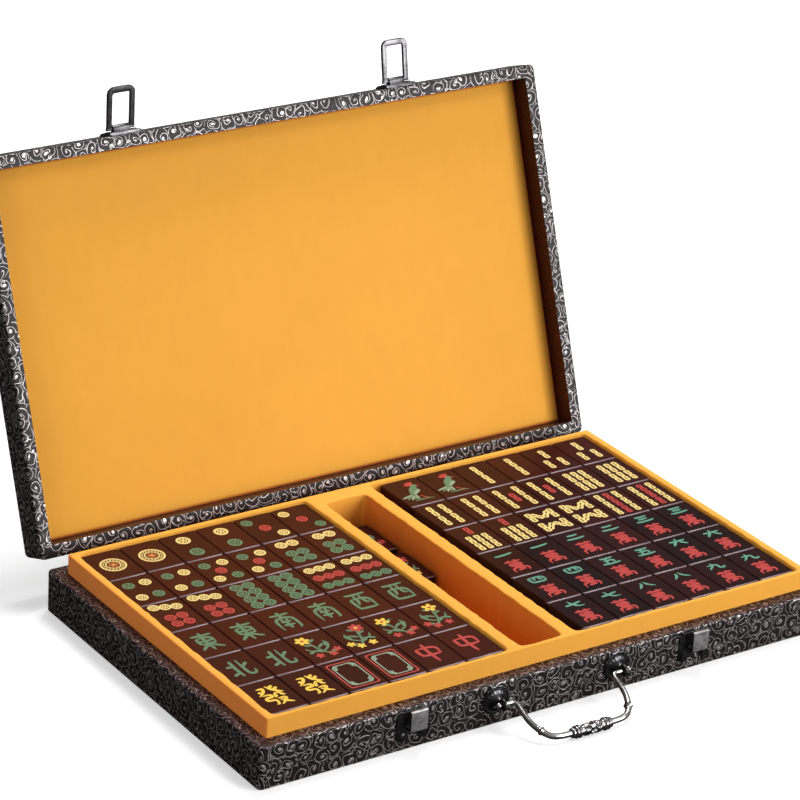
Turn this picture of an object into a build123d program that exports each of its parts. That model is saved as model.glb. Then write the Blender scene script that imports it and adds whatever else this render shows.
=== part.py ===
"""Mahjong case: a shallow covered box with a hinged lid, a lined tray, 144 tiles in two layers
and two spares.

Millimetres, +Z up. The case stands on Z = 0 with its lid open. X runs along its front, +Y points to its
back, and the origin is under the middle of its footprint.
"""
import os
from math import asin, cos, degrees, radians, sin

from build123d import *

# Case
case_width = 430.0
case_depth = 259.0
base_height = 29.0
lid_height = 23.2
rim_gap = 0.3
corner_radius = 3.6
edge_radius = 1.6
wall_board = 8.0
lid_wall_board = 7.4
flat_board = 3.0
cover = 0.6
under_sheet_inset = 8.0
front_y = -166.73
lid_open_angle = 110.0

# Tiles
tile_width = 28.0
tile_length = 38.0
tile_height = 17.4
tile_gap = 0.3
tile_edge = 0.9
tiles_along = 6
layers_gap = 0.2
left_block_right = -29.7
right_block_left = 29.7
tiles_front = 15.7
spare_fronts = (146.0, 191.0)

# Tray
tray_top = 42.0
tray_floor_thickness = 1.2
tray_clearance = 0.4
side_wall = 5.8
front_wall = 3.0
back_wall = 3.9
slot_left = -20.0
slot_right = 11.6
left_divider = 9.3
right_divider = 10.2
slot_back = 235.5
tray_edge = 0.8

# Lid lining
lining_depth = 15.3
lining_thickness = 3.9
lining_edge = 1.2

# Hinges
hinge_spots = (-140.0, 140.0)
hinge_width = 38.0
hinge_reach = 4.2
hinge_drop = 1.0
knuckle_radius = 2.8
knuckle_gap = 0.3
neck_length = 6.0
leaf_height = 18.0
leaf_thickness = 1.0
leaf_start = 1.4
leaf_corner = 3.0
leaf_screw_step = 13.0
leaf_screws_down = 10.8
stop_gap = 0.2
stop_drop = 5.0
stop_thickness = 1.2
hinge_pin_radius = 1.2
pin_clearance = 0.05
pin_head = (2.0, 0.9)

# Screws and rivets
screw_radius = 1.2
screw_length = 6.5
screw_head = (2.5, 1.1)
rivet_head = (2.3, 1.1)
flat_rivet_head = (2.1, 0.6)
hole_clearance = 0.05

# Latches
latch_spots = (-107.0, 107.0)
latch_drop = 10.0
latch_reach = 4.2
plate_width = 26.0
plate_height = 15.0
plate_thickness = 2.0
plate_bevel = 1.4
plate_corner = 2.5
latch_knuckle_radius = 2.4
latch_knuckle_length = 12.0
loop_width = 20.5
loop_bar = 3.8
loop_end_bar = 4.2
loop_thickness = 2.2
loop_inner_length = 24.3
loop_corner = 5.0
loop_inner_corner = 1.5
loop_edge = 0.5
loop_lean = {-107.0: 20.0, 107.0: 10.0}
latch_rivet_spacing = 19.0

# Catches
catch_width = 24.0
catch_low = 6.6
catch_high = 27.0
catch_thickness = 1.0
catch_lobe = 4.2
catch_arch = 2.0
catch_shoulder = 3.0
hook_width = 12.0
hook_low = 15.5
hook_high = 29.5
hook_thickness = 1.5
hook_reach = 7.3
hook_flange_low = 15.9
hook_edge = 0.6

# Handle
handle_spots = (-46.0, 46.0)
handle_height = 17.8
clear_of_table = 0.1
handle_reach = 8.0
eye_radius = 4.0
handle_pin_radius = 1.5
arm_radius = 1.9
pin_ball = 2.0
grip_radius = 4.3
grip_length = 31.0
post_radius = 2.2
neck_radius = 3.0
nut_radius = 4.0
nut_height = 2.6

# The rosette's dish, from its rim to its neck: how far it stands off the wall and its radius there
rosette_rim, rosette_middle, rosette_top = (0.8, 9.4), (2.2, 6.6), (4.2, 4.0)
eye_neck = 4.8

# The bail's half line: across from the middle, and down from the pivots. Its corners are rounded
bail_line = ((0.0, 32.6), (22.0, 32.6), (33.5, 26.6), (36.6, 14.0), (35.4, 0.0))
bail_corners = (9.0, 9.0, 12.0, 2.6)
bail_bead = (33.6, 25.0, 2.8)
pin_overlap = 0.3

# The grip's turned end: how far each ring stands from the end, and its radius
grip_rings = ((0.0, 2.5), (1.2, 3.3), (2.4, 3.3), (3.0, 2.7), (3.8, 4.0), (5.6, 4.0), (6.2, 3.1), (7.4, 3.6))

os.makedirs("parts", exist_ok=True)

x_axis = Vector(1, 0, 0)
base_frame = Plane(origin=(0, front_y, 0), x_dir=x_axis, z_dir=(0, 0, 1))
hinge_height = base_height + rim_gap / 2 - hinge_drop
lid_axis_height = rim_gap / 2 + hinge_drop
hinge_y = case_depth + hinge_reach


def lid_plane(angle):
    """The lid's frame at an opening angle: y from its hinge edge to its front edge, z out of its mouth."""
    along = Vector(0, -cos(radians(angle)), sin(radians(angle)))
    out = x_axis.cross(along)
    axis = base_frame.from_local_coords((0, hinge_y, hinge_height))
    return Plane(origin=axis + along * hinge_reach - out * lid_axis_height, x_dir=x_axis, z_dir=out)


lid_frame = lid_plane(lid_open_angle)


def finish(piece, name):
    """Label a finished piece and write it."""
    piece.part.label = name
    export_step(piece.part, f"parts/{name}.step")


def side_plane(frame, x):
    """A plane across the frame at x, on which a section is drawn in the frame's own y and z."""
    return Plane(origin=frame.from_local_coords((x, 0, 0)), x_dir=frame.y_dir, z_dir=frame.x_dir)


def facing(frame, x, y, z, normal):
    """A plane at a point of the frame, facing along one of the frame's directions."""
    return Plane(origin=frame.from_local_coords((x, y, z)), x_dir=frame.x_dir, z_dir=normal)


def plan(frame, inset, height, radius=0.0):
    """The case's outline, drawn in by the inset, at a height of the frame."""
    with BuildSketch(frame.offset(height)) as outline:
        with Locations((0, case_depth / 2)):
            if radius:
                RectangleRounded(case_width - 2 * inset, case_depth - 2 * inset, radius)
            else:
                Rectangle(case_width - 2 * inset, case_depth - 2 * inset)
    return outline.sketch


def rounded_block(frame, inset, low, high):
    """A block of the case's outline with its rounded corners and edges."""
    up = Axis((0, 0, 0), frame.z_dir)
    with BuildPart() as block:
        extrude(plan(frame, inset, low, corner_radius - inset), amount=high - low)
        flats = block.faces().filter_by(up).sort_by(up)
        fillet(flats[0].edges() + flats[-1].edges(), edge_radius - inset)
    return block.part


def drill(planes, radius, depth):
    """Sink a hole into the piece being built at each plane, against its normal."""
    with BuildSketch(*planes) as holes:
        Circle(radius)
    extrude(holes.sketch, amount=-depth, mode=Mode.SUBTRACT)


def open_box(frame, board, low, high, floor, mouth):
    """Four walls and a flat board in one piece, from which each board is then cut."""
    block = rounded_block(frame, cover, low, high)
    with BuildPart() as boards:
        add(block)
        extrude(plan(frame, cover + board, floor), amount=mouth - floor, mode=Mode.SUBTRACT)
    return boards.part


def wrapped(frame, board, low, high, boards, floor, mouth):
    """The thin covering that wraps the boards outside, over the rim and down the inner walls."""
    block = rounded_block(frame, 0, low, high)
    with BuildPart() as wrap:
        add(block)
        add(boards, mode=Mode.SUBTRACT)
        extrude(plan(frame, cover + board + cover, floor), amount=mouth - floor, mode=Mode.SUBTRACT)
    return wrap.part


def mitred_outlines(board):
    """The four walls' plan outlines, which meet on mitres at the corners."""
    outer_x, outer_y = case_width / 2, case_depth
    deep = cover + board
    inner_x, inner_y = outer_x - deep, outer_y - deep
    return {
        "front": [(-outer_x, 0), (outer_x, 0), (inner_x, deep), (-inner_x, deep)],
        "back": [(-inner_x, inner_y), (inner_x, inner_y), (outer_x, outer_y), (-outer_x, outer_y)],
        "left": [(-outer_x, 0), (-inner_x, deep), (-inner_x, inner_y), (-outer_x, outer_y)],
        "right": [(outer_x, 0), (outer_x, outer_y), (inner_x, inner_y), (inner_x, deep)],
    }


def box_between(low, high):
    """A block given by its two opposite corners in the frame being built in."""
    centre = tuple((a + b) / 2 for a, b in zip(low, high))
    size = tuple(b - a for a, b in zip(low, high))
    with Locations(centre):
        Box(*size)


# The lid is drawn from its hinge edge, so its outline's near side is the wall at the hinge
LID_SIDES = {"front": "back", "back": "front", "left": "left", "right": "right"}

# Places that several pieces share
back, front_dir = base_frame.y_dir, -base_frame.y_dir
lid_back, lid_front = -lid_frame.y_dir, lid_frame.y_dir
leaf_screws_x = [spot + step * leaf_screw_step for spot in hinge_spots for step in (-1, 0, 1)]
leaf_middle = leaf_start + leaf_screws_down
base_screws = [facing(base_frame, x, case_depth, hinge_height - leaf_middle, back) for x in leaf_screws_x]
lid_screws = [facing(lid_frame, x, 0, lid_axis_height - leaf_middle, lid_back) for x in leaf_screws_x]
lobe_x = catch_width / 2 - catch_lobe
catch_rivet_planes = [
    facing(base_frame, spot + side * lobe_x, 0, catch_low + catch_lobe, front_dir)
    for spot in latch_spots
    for side in (-1, 1)
]
plate_rivet_planes = [
    facing(lid_frame, spot + side * latch_rivet_spacing / 2, case_depth, -latch_drop, lid_front)
    for spot in latch_spots
    for side in (-1, 1)
]
post_planes = [facing(base_frame, x, 0, handle_height, front_dir) for x in handle_spots]
nut_planes = [facing(base_frame, x, cover + wall_board, handle_height, back) for x in handle_spots]
hole_radius = screw_radius + hole_clearance

# ---------------------------------------------------------------- base boards and covering
floor_top = cover + flat_board
base_boards = open_box(base_frame, wall_board, cover, base_height - cover, floor_top, base_height)
base_wrap = wrapped(base_frame, wall_board, 0, base_height, base_boards, floor_top, base_height)
for side, outline in mitred_outlines(wall_board).items():
    with BuildPart() as base_wall:
        with BuildSketch(base_frame.offset(floor_top)):
            Polygon(*outline, align=None)
        extrude(amount=base_height)
        add(base_boards, mode=Mode.INTERSECT)
        if side == "back":
            drill(base_screws, hole_radius, screw_length + hole_clearance)
        if side == "front":
            drill(catch_rivet_planes, hole_radius, screw_length + hole_clearance)
            drill(post_planes, post_radius + hole_clearance, wall_board * 2)
            drill(nut_planes, nut_radius + hole_clearance, nut_height + hole_clearance)
    finish(base_wall, f"base_wall_{side}")

with BuildPart() as base_bottom_board:
    extrude(plan(base_frame, 0, cover), amount=flat_board)
    add(base_boards, mode=Mode.INTERSECT)
finish(base_bottom_board, "base_bottom_board")

with BuildPart() as base_cover:
    add(base_wrap)
    extrude(plan(base_frame, under_sheet_inset, 0), amount=cover, mode=Mode.SUBTRACT)
    drill(base_screws, hole_radius, cover * 2)
    drill(catch_rivet_planes, hole_radius, cover * 2)
    drill(post_planes, post_radius + hole_clearance, cover * 2)
    drill(nut_planes, nut_radius + hole_clearance, -cover * 2)
finish(base_cover, "base_cover")

with BuildPart() as base_under_sheet:
    extrude(plan(base_frame, under_sheet_inset, 0), amount=cover)
finish(base_under_sheet, "base_under_sheet")

# ---------------------------------------------------------------- lid boards, covering and lining
lid_floor = -(lining_depth + lining_thickness)
lid_boards = open_box(lid_frame, lid_wall_board, cover - lid_height, -cover, lid_floor, 0)
lid_wrap = wrapped(lid_frame, lid_wall_board, -lid_height, 0, lid_boards, lid_floor, 0)
for side, outline in mitred_outlines(lid_wall_board).items():
    with BuildPart() as lid_wall:
        with BuildSketch(lid_frame.offset(lid_floor)):
            Polygon(*outline, align=None)
        extrude(amount=lid_height)
        add(lid_boards, mode=Mode.INTERSECT)
        if side == "front":
            drill(lid_screws, hole_radius, screw_length + hole_clearance)
        if side == "back":
            drill(plate_rivet_planes, hole_radius, screw_length + hole_clearance)
    finish(lid_wall, f"lid_wall_{LID_SIDES[side]}")

with BuildPart() as lid_top_board:
    extrude(plan(lid_frame, 0, -lid_height), amount=lid_height + lid_floor)
    add(lid_boards, mode=Mode.INTERSECT)
finish(lid_top_board, "lid_top_board")

with BuildPart() as lid_cover:
    add(lid_wrap)
    drill(lid_screws, hole_radius, cover * 2)
    drill(plate_rivet_planes, hole_radius, cover * 2)
finish(lid_cover, "lid_cover")

with BuildPart() as lid_lining:
    extrude(plan(lid_frame, cover + lid_wall_board + cover, lid_floor), amount=lining_thickness)
    fillet(lid_lining.faces().sort_by(Axis((0, 0, 0), lid_frame.z_dir))[-1].edges(), lining_edge)
finish(lid_lining, "lid_lining")

# ---------------------------------------------------------------- tray
inner_x = case_width / 2 - 2 * cover - wall_board
inner_y = 2 * cover + wall_board
tray_x = inner_x - tray_clearance
tray_front, tray_back = inner_y + tray_clearance, case_depth - inner_y - tray_clearance
tray_floor_top = floor_top + tray_floor_thickness
well_front, well_back = tray_front + front_wall, tray_back - back_wall
well_x = tray_x - side_wall

tray_walls = {
    "tray_wall_front": ((-tray_x, tray_front), (tray_x, well_front)),
    "tray_wall_back": ((-tray_x, well_back), (tray_x, tray_back)),
    "tray_wall_left": ((-tray_x, well_front), (-well_x, well_back)),
    "tray_wall_right": ((well_x, well_front), (tray_x, well_back)),
    "tray_divider_left": ((slot_left - left_divider, well_front), (slot_left, well_back)),
    "tray_divider_right": ((slot_right, well_front), (slot_right + right_divider, well_back)),
    "tray_slot_block": ((slot_left, slot_back), (slot_right, well_back)),
}
for name, (low, high) in tray_walls.items():
    with BuildPart(base_frame) as tray_piece:
        box_between((*low, floor_top), (*high, tray_top))
        top = tray_piece.faces().sort_by(Axis.Z)[-1]
        long_way = Axis.Y if name.endswith(("left", "right")) else Axis.X
        fillet(top.edges().filter_by(long_way), tray_edge)
    finish(tray_piece, name)

floor_cells = [
    (-well_x, slot_left - left_divider, well_back),
    (slot_left, slot_right, slot_back),
    (slot_right + right_divider, well_x, well_back),
]
with BuildPart(base_frame) as tray_floor:
    for left, right, rear in floor_cells:
        box_between((left, well_front, floor_top), (right, rear, tray_floor_top))
finish(tray_floor, "tray_floor")

# ---------------------------------------------------------------- tiles
tile_pitch_x = tile_width + tile_gap
tile_pitch_y = tile_length + tile_gap
lower_low = tray_floor_top + layers_gap
upper_low = lower_low + tile_height + layers_gap
blocks = {
    "left": left_block_right - tiles_along * tile_pitch_x + tile_gap,
    "right": right_block_left,
}


def tile_row(left, front, low, softened):
    """One row of tiles side by side, each a separate solid with softened edges."""
    with BuildPart(base_frame) as row:
        for column in range(tiles_along):
            x = left + column * tile_pitch_x
            box_between((x, front, low), (x + tile_width, front + tile_length, low + tile_height))
        chamfer(row.edges() if softened else row.edges().filter_by(Axis.Z), tile_edge)
    return row


for block, left in blocks.items():
    for row_number in range(tiles_along):
        front = tiles_front + row_number * tile_pitch_y
        finish(tile_row(left, front, upper_low, True), f"tiles_{block}_upper_row_{row_number + 1}")
    with BuildPart() as lower:
        for row_number in range(tiles_along):
            add(tile_row(left, tiles_front + row_number * tile_pitch_y, lower_low, False).part)
    finish(lower, f"tiles_{block}_lower")

spare_left = (slot_left + slot_right - tile_width) / 2
with BuildPart(base_frame) as spare_tiles:
    for front in spare_fronts:
        box_between(
            (spare_left, front, lower_low),
            (spare_left + tile_width, front + tile_length, lower_low + tile_height),
        )
    chamfer(spare_tiles.edges(), tile_edge)
finish(spare_tiles, "spare_tiles")


# ---------------------------------------------------------------- hinges
def knuckle_spans(spot, inner):
    """Where a leaf's knuckles start and how long they are. The lid has the middle one, the base two."""
    third = hinge_width / 3
    start = spot - hinge_width / 2
    half_gap = knuckle_gap / 2
    if inner:
        return [(start + third + half_gap, third - knuckle_gap)]
    return [(start, third - half_gap), (start + 2 * third + half_gap, third - half_gap)]


def stop_tab(start, length):
    """A tab on the lid's knuckle that meets the base's leaf when the lid is fully open."""
    face_y = hinge_y - hinge_reach + leaf_thickness + stop_gap
    with BuildSketch(side_plane(base_frame, start)) as tab:
        Polygon(
            (hinge_y - knuckle_radius + stop_gap, hinge_height),
            (face_y, hinge_height - stop_drop + stop_thickness),
            (face_y, hinge_height - stop_drop),
            (hinge_y, hinge_height - knuckle_radius + stop_gap),
            align=None,
        )
    extrude(tab.sketch, amount=length)


def hinge_leaf(frame, spot, wall_y, away, axis_z, inner, screws):
    """A leaf on the outside of a back wall, with its necks and knuckles round the hinge pin.

    wall_y is the wall's face and away the direction out of it, along the frame's y.
    """
    axis_y = wall_y + away * hinge_reach
    with BuildPart() as leaf:
        with BuildSketch(side_plane(frame, spot - hinge_width / 2)):
            with Locations((wall_y + away * leaf_thickness / 2, axis_z - leaf_start - leaf_height / 2)):
                Rectangle(leaf_thickness, leaf_height)
        extrude(amount=hinge_width)
        ends = leaf.edges().filter_by(Axis((0, 0, 0), frame.y_dir)).sort_by(frame_axis(frame))
        fillet(ends[:2], leaf_corner)
        for start, length in knuckle_spans(spot, inner):
            with BuildSketch(side_plane(frame, start)):
                with Locations((axis_y, axis_z)):
                    Circle(knuckle_radius)
                Polygon(
                    (wall_y, axis_z - leaf_start),
                    (wall_y, axis_z - leaf_start - neck_length),
                    (wall_y + away * leaf_thickness, axis_z - leaf_start - neck_length),
                    (axis_y, axis_z - knuckle_radius),
                    (axis_y, axis_z),
                    (axis_y - away * knuckle_radius, axis_z),
                    align=None,
                )
            extrude(amount=length)
            if inner:
                stop_tab(start, length)
        with BuildSketch(side_plane(frame, spot - hinge_width / 2)):
            with Locations((axis_y, axis_z)):
                Circle(hinge_pin_radius + pin_clearance)
        extrude(amount=hinge_width, mode=Mode.SUBTRACT)
        drill([plane.offset(leaf_thickness) for plane in screws], hole_radius, leaf_thickness * 2)
    return leaf


def frame_axis(frame):
    """The frame's z direction as an axis, for sorting."""
    return Axis((0, 0, 0), frame.z_dir)


def screws_at(planes, standing, head):
    """Screws or rivets whose heads, given as radius and height, bear on a plate of the given thickness."""
    head_radius, head_height = head
    with BuildPart() as screws:
        for plane in planes:
            with BuildSketch(plane.offset(standing)) as shank:
                Circle(screw_radius)
            extrude(shank.sketch, amount=-(screw_length + standing))
            with BuildSketch(plane.offset(standing)) as top:
                Circle(head_radius)
            extrude(top.sketch, amount=head_height)
            rim = screws.faces().sort_by(Axis(plane.origin, plane.z_dir))[-1].edges()
            chamfer(rim, head_height * 0.6)
    return screws


for side, spot in zip(("left", "right"), hinge_spots):
    own_screws = [plane for plane in base_screws if abs(plane.origin.X - spot) < hinge_width / 2]
    leaf = hinge_leaf(base_frame, spot, case_depth, 1, hinge_height, False, own_screws)
    finish(leaf, f"base_hinge_leaf_{side}")
    own_screws = [plane for plane in lid_screws if abs(plane.origin.X - spot) < hinge_width / 2]
    leaf = hinge_leaf(lid_frame, spot, 0, -1, lid_axis_height, True, own_screws)
    finish(leaf, f"lid_hinge_leaf_{side}")

head_radius, head_height = pin_head
with BuildPart() as hinge_pins:
    for spot in hinge_spots:
        with BuildSketch(side_plane(base_frame, spot - hinge_width / 2)):
            with Locations((hinge_y, hinge_height)):
                Circle(hinge_pin_radius)
        extrude(amount=hinge_width)
        for end, way in ((spot - hinge_width / 2, -1), (spot + hinge_width / 2, 1)):
            with BuildSketch(side_plane(base_frame, end)):
                with Locations((hinge_y, hinge_height)):
                    Circle(head_radius)
            extrude(amount=way * head_height)
finish(hinge_pins, "hinge_pins")
finish(screws_at(base_screws, leaf_thickness, screw_head), "base_hinge_screws")
finish(screws_at(lid_screws, leaf_thickness, screw_head), "lid_hinge_screws")


# ---------------------------------------------------------------- latches on the lid
def latch_axis(spot):
    """The loop's pivot on the open lid."""
    return lid_frame.from_local_coords((spot, case_depth + latch_reach, -latch_drop))


def latch_plate(spot):
    """A bevelled plate on the lid's front wall with a rolled knuckle across its middle."""
    wall = facing(lid_frame, spot, case_depth, -latch_drop, lid_front)
    with BuildPart() as plate:
        with BuildSketch(wall):
            RectangleRounded(plate_width, plate_height, plate_corner)
        extrude(amount=plate_thickness)
        chamfer(plate.faces().sort_by(Axis(wall.origin, wall.z_dir))[-1].edges(), plate_bevel)
        with BuildSketch(side_plane(lid_frame, spot - latch_knuckle_length / 2)):
            with Locations((case_depth + latch_reach, -latch_drop)):
                Circle(latch_knuckle_radius)
            with Locations((case_depth + latch_reach / 2, -latch_drop)):
                Rectangle(latch_reach, 2 * latch_knuckle_radius)
        extrude(amount=latch_knuckle_length)
        with BuildSketch(side_plane(lid_frame, spot - latch_knuckle_length / 2)):
            with Locations((case_depth + latch_reach, -latch_drop)):
                Circle(loop_thickness / 2 + pin_clearance)
        extrude(amount=latch_knuckle_length, mode=Mode.SUBTRACT)
        own = [plane for plane in plate_rivet_planes if abs(plane.origin.X - spot) < plate_width / 2]
        drill([plane.offset(plate_thickness) for plane in own], hole_radius, plate_thickness * 2)
    return plate


def latch_loop(spot, lean):
    """A flat ring whose round near bar turns in the plate's knuckle. It leans towards the lid's mouth."""
    along = lid_frame.y_dir * cos(radians(lean)) + lid_frame.z_dir * sin(radians(lean))
    face = Plane(origin=latch_axis(spot), x_dir=x_axis, z_dir=x_axis.cross(along))
    outer_length = loop_inner_length + loop_end_bar
    half = loop_thickness / 2
    with BuildPart() as loop:
        with BuildSketch(face.offset(-half)):
            with Locations((0, outer_length / 2)):
                RectangleRounded(loop_width, outer_length, loop_corner)
            with Locations((0, loop_corner)):
                Rectangle(loop_width, 2 * loop_corner)
            with Locations((0, loop_inner_length / 2)):
                opening_width = loop_width - 2 * loop_bar
                RectangleRounded(opening_width, loop_inner_length, loop_inner_corner, mode=Mode.SUBTRACT)
        extrude(amount=loop_thickness)
        flats = loop.faces().filter_by(Axis(face.origin, face.z_dir))
        chamfer(flats.edges(), loop_edge)
        with BuildSketch(Plane(origin=face.origin - x_axis * (loop_width / 2), x_dir=along, z_dir=x_axis)):
            Circle(half)
        extrude(amount=loop_width)
    return loop


for side, spot in zip(("left", "right"), latch_spots):
    finish(latch_plate(spot), f"latch_plate_{side}")
    finish(latch_loop(spot, loop_lean[spot]), f"latch_loop_{side}")
finish(screws_at(plate_rivet_planes, plate_thickness, flat_rivet_head), "latch_plate_rivets")


# ---------------------------------------------------------------- catches on the base
def catch(spot):
    """A plate with two rounded feet and a square hook that stands off it on a flange."""
    wall = facing(base_frame, spot, 0, 0, front_dir)
    half = catch_width / 2
    with BuildPart() as piece:
        with BuildSketch(wall):
            with BuildLine():
                Polyline(
                    (-half, catch_low + catch_lobe),
                    (-half, catch_high - catch_shoulder),
                    (catch_shoulder - half, catch_high),
                    (half - catch_shoulder, catch_high),
                    (half, catch_high - catch_shoulder),
                    (half, catch_low + catch_lobe),
                )
                ThreePointArc(
                    (half, catch_low + catch_lobe),
                    (half - catch_lobe, catch_low),
                    (half - 2 * catch_lobe, catch_low + catch_lobe),
                )
                ThreePointArc(
                    (half - 2 * catch_lobe, catch_low + catch_lobe),
                    (0, catch_low + catch_lobe + catch_arch),
                    (2 * catch_lobe - half, catch_low + catch_lobe),
                )
                ThreePointArc(
                    (2 * catch_lobe - half, catch_low + catch_lobe),
                    (catch_lobe - half, catch_low),
                    (-half, catch_low + catch_lobe),
                )
            make_face()
        extrude(amount=catch_thickness)
        with BuildSketch(side_plane(base_frame, spot - hook_width / 2)):
            Polygon(
                (0, hook_flange_low),
                (-hook_reach + hook_thickness, hook_flange_low),
                (-hook_reach + hook_thickness, hook_low),
                (-hook_reach + hook_edge, hook_low),
                (-hook_reach, hook_low + hook_edge),
                (-hook_reach, hook_high - hook_edge),
                (-hook_reach + hook_edge, hook_high),
                (-hook_reach + hook_thickness, hook_high),
                (-hook_reach + hook_thickness, hook_flange_low + hook_thickness),
                (0, hook_flange_low + hook_thickness),
                align=None,
            )
        extrude(amount=hook_width)
        own = [plane for plane in catch_rivet_planes if abs(plane.origin.X - spot) < catch_width / 2]
        drill([plane.offset(catch_thickness) for plane in own], hole_radius, catch_thickness * 2)
    return piece


for side, spot in zip(("left", "right"), latch_spots):
    finish(catch(spot), f"catch_{side}")
finish(screws_at(catch_rivet_planes, catch_thickness, rivet_head), "catch_rivets")


# ---------------------------------------------------------------- handle
def handle_post(spot):
    """A turned rosette with a round eye in front and a shank through the front wall."""
    turning = Plane(
        origin=base_frame.from_local_coords((spot, 0, handle_height)), x_dir=x_axis, z_dir=(0, 0, 1)
    )
    with BuildPart() as post:
        with BuildSketch(turning):
            with BuildLine():
                dish = [(out, -up) for up, out in (rosette_rim, rosette_middle, rosette_top)]
                shank = [(0, cover + wall_board), (post_radius, cover + wall_board), (post_radius, 0)]
                neck = [(neck_radius, -eye_neck), (neck_radius, -handle_reach), (0, -handle_reach)]
                Polyline(*shank, (dish[0][0], 0), dish[0])
                ThreePointArc(*dish)
                Polyline(dish[-1], *neck, shank[0])
            make_face()
        revolve(axis=Axis(turning.origin, turning.y_dir))
        with Locations(turning.from_local_coords((0, -handle_reach, 0))):
            Sphere(eye_radius, rotation=(0, 90, 0))
        with BuildSketch(side_plane(base_frame, spot - 2 * eye_radius)):
            with Locations((-handle_reach, handle_height)):
                Circle(handle_pin_radius + pin_clearance)
        extrude(amount=4 * eye_radius, mode=Mode.SUBTRACT)
    return post


for side, spot in zip(("left", "right"), handle_spots):
    finish(handle_post(spot), f"handle_post_{side}")

with BuildPart() as handle_post_nuts:
    for plane in nut_planes:
        with BuildSketch(plane):
            RegularPolygon(nut_radius, 6)
            Circle(post_radius + hole_clearance, mode=Mode.SUBTRACT)
        extrude(amount=-nut_height)
finish(handle_post_nuts, "handle_post_nuts")

# The handle lies forward until its grip is a hair over what the case stands on
handle_drop = bail_line[0][1]
handle_dip = degrees(asin((handle_height - grip_radius - clear_of_table) / handle_drop))
handle_along = Vector(0, -cos(radians(handle_dip)), -sin(radians(handle_dip)))
handle_frame = Plane(
    origin=base_frame.from_local_coords((0, -handle_reach, handle_height)),
    x_dir=x_axis,
    z_dir=x_axis.cross(handle_along),
)
pin_start = handle_spots[1] - eye_radius + pin_overlap
pin_end = handle_spots[1] + eye_radius + pin_ball

with BuildPart() as handle_bail:
    with BuildLine(handle_frame) as half_line:
        FilletPolyline(*bail_line, (pin_start, 0.0), radius=bail_corners)
    with BuildSketch(Plane(origin=half_line.line @ 0, z_dir=half_line.line % 0)):
        Circle(arm_radius)
    sweep(path=half_line.line)
    with BuildSketch(Plane(origin=half_line.line @ 1, z_dir=x_axis)):
        Circle(handle_pin_radius)
    extrude(amount=pin_end - pin_start)
    with Locations(handle_frame.from_local_coords((pin_end, 0, 0))):
        Sphere(pin_ball)
    with Locations(handle_frame.from_local_coords((*bail_bead[:2], 0))):
        Sphere(bail_bead[2])
    mirror(about=Plane.YZ)
finish(handle_bail, "handle_bail")

with BuildPart() as handle_grip:
    half = grip_length / 2
    with BuildSketch(handle_frame):
        with BuildLine():
            bore = handle_drop - arm_radius - pin_clearance
            right = [(half - step, handle_drop - radius) for step, radius in grip_rings]
            left = [(-x, y) for x, y in reversed(right)]
            Polyline((-half, bore), (half, bore), *right)
            ThreePointArc(right[-1], (0, handle_drop - grip_radius), left[0])
            Polyline(*left, (-half, bore))
        make_face()
    revolve(axis=Axis(handle_frame.from_local_coords((0, handle_drop, 0)), x_axis))
finish(handle_grip, "handle_grip")
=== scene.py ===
"""Mahjong case: the finishes and fine shapes of its cover, tray, tiles and fittings, and the stage."""
from contextlib import contextmanager
from functools import cache
from math import asin, cos, hypot, pi, radians, sin
from operator import mul
from random import Random

import bmesh
import bpy
from bpy.props import FloatProperty, FloatVectorProperty, PointerProperty
from bpy.types import Operator, Panel, PropertyGroup
from mathutils import Matrix, Vector


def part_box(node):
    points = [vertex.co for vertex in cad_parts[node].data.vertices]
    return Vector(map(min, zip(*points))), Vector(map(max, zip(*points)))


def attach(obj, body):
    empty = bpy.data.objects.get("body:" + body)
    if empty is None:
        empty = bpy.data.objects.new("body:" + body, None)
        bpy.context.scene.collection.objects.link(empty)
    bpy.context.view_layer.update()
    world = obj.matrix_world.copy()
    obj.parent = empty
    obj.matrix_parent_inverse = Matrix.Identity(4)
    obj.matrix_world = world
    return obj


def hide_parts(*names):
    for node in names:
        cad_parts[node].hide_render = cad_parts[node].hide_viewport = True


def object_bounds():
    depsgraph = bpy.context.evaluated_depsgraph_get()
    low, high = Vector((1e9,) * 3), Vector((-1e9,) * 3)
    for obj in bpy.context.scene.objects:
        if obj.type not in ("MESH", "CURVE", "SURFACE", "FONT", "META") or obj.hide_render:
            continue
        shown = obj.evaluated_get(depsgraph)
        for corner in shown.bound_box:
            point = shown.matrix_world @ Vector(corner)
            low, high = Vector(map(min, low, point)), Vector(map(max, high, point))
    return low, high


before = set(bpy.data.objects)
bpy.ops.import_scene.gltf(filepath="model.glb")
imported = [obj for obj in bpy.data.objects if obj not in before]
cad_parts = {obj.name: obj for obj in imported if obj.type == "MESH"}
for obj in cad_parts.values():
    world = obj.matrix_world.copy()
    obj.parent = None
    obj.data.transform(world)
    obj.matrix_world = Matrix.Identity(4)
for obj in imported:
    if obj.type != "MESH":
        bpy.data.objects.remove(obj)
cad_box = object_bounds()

bl_info = {
    "name": "Mahjong case",
    "version": (1, 0, 0),
    "blender": (4, 5, 0),
    "location": "View3D > Sidebar > Mahjong case",
    "description": "Finishes for a covered mahjong case with its tray, tiles and fittings",
    "category": "Object",
}

MM = 0.001
X, Y, Z = Vector((1, 0, 0)), Vector((0, 1, 0)), Vector((0, 0, 1))

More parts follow.
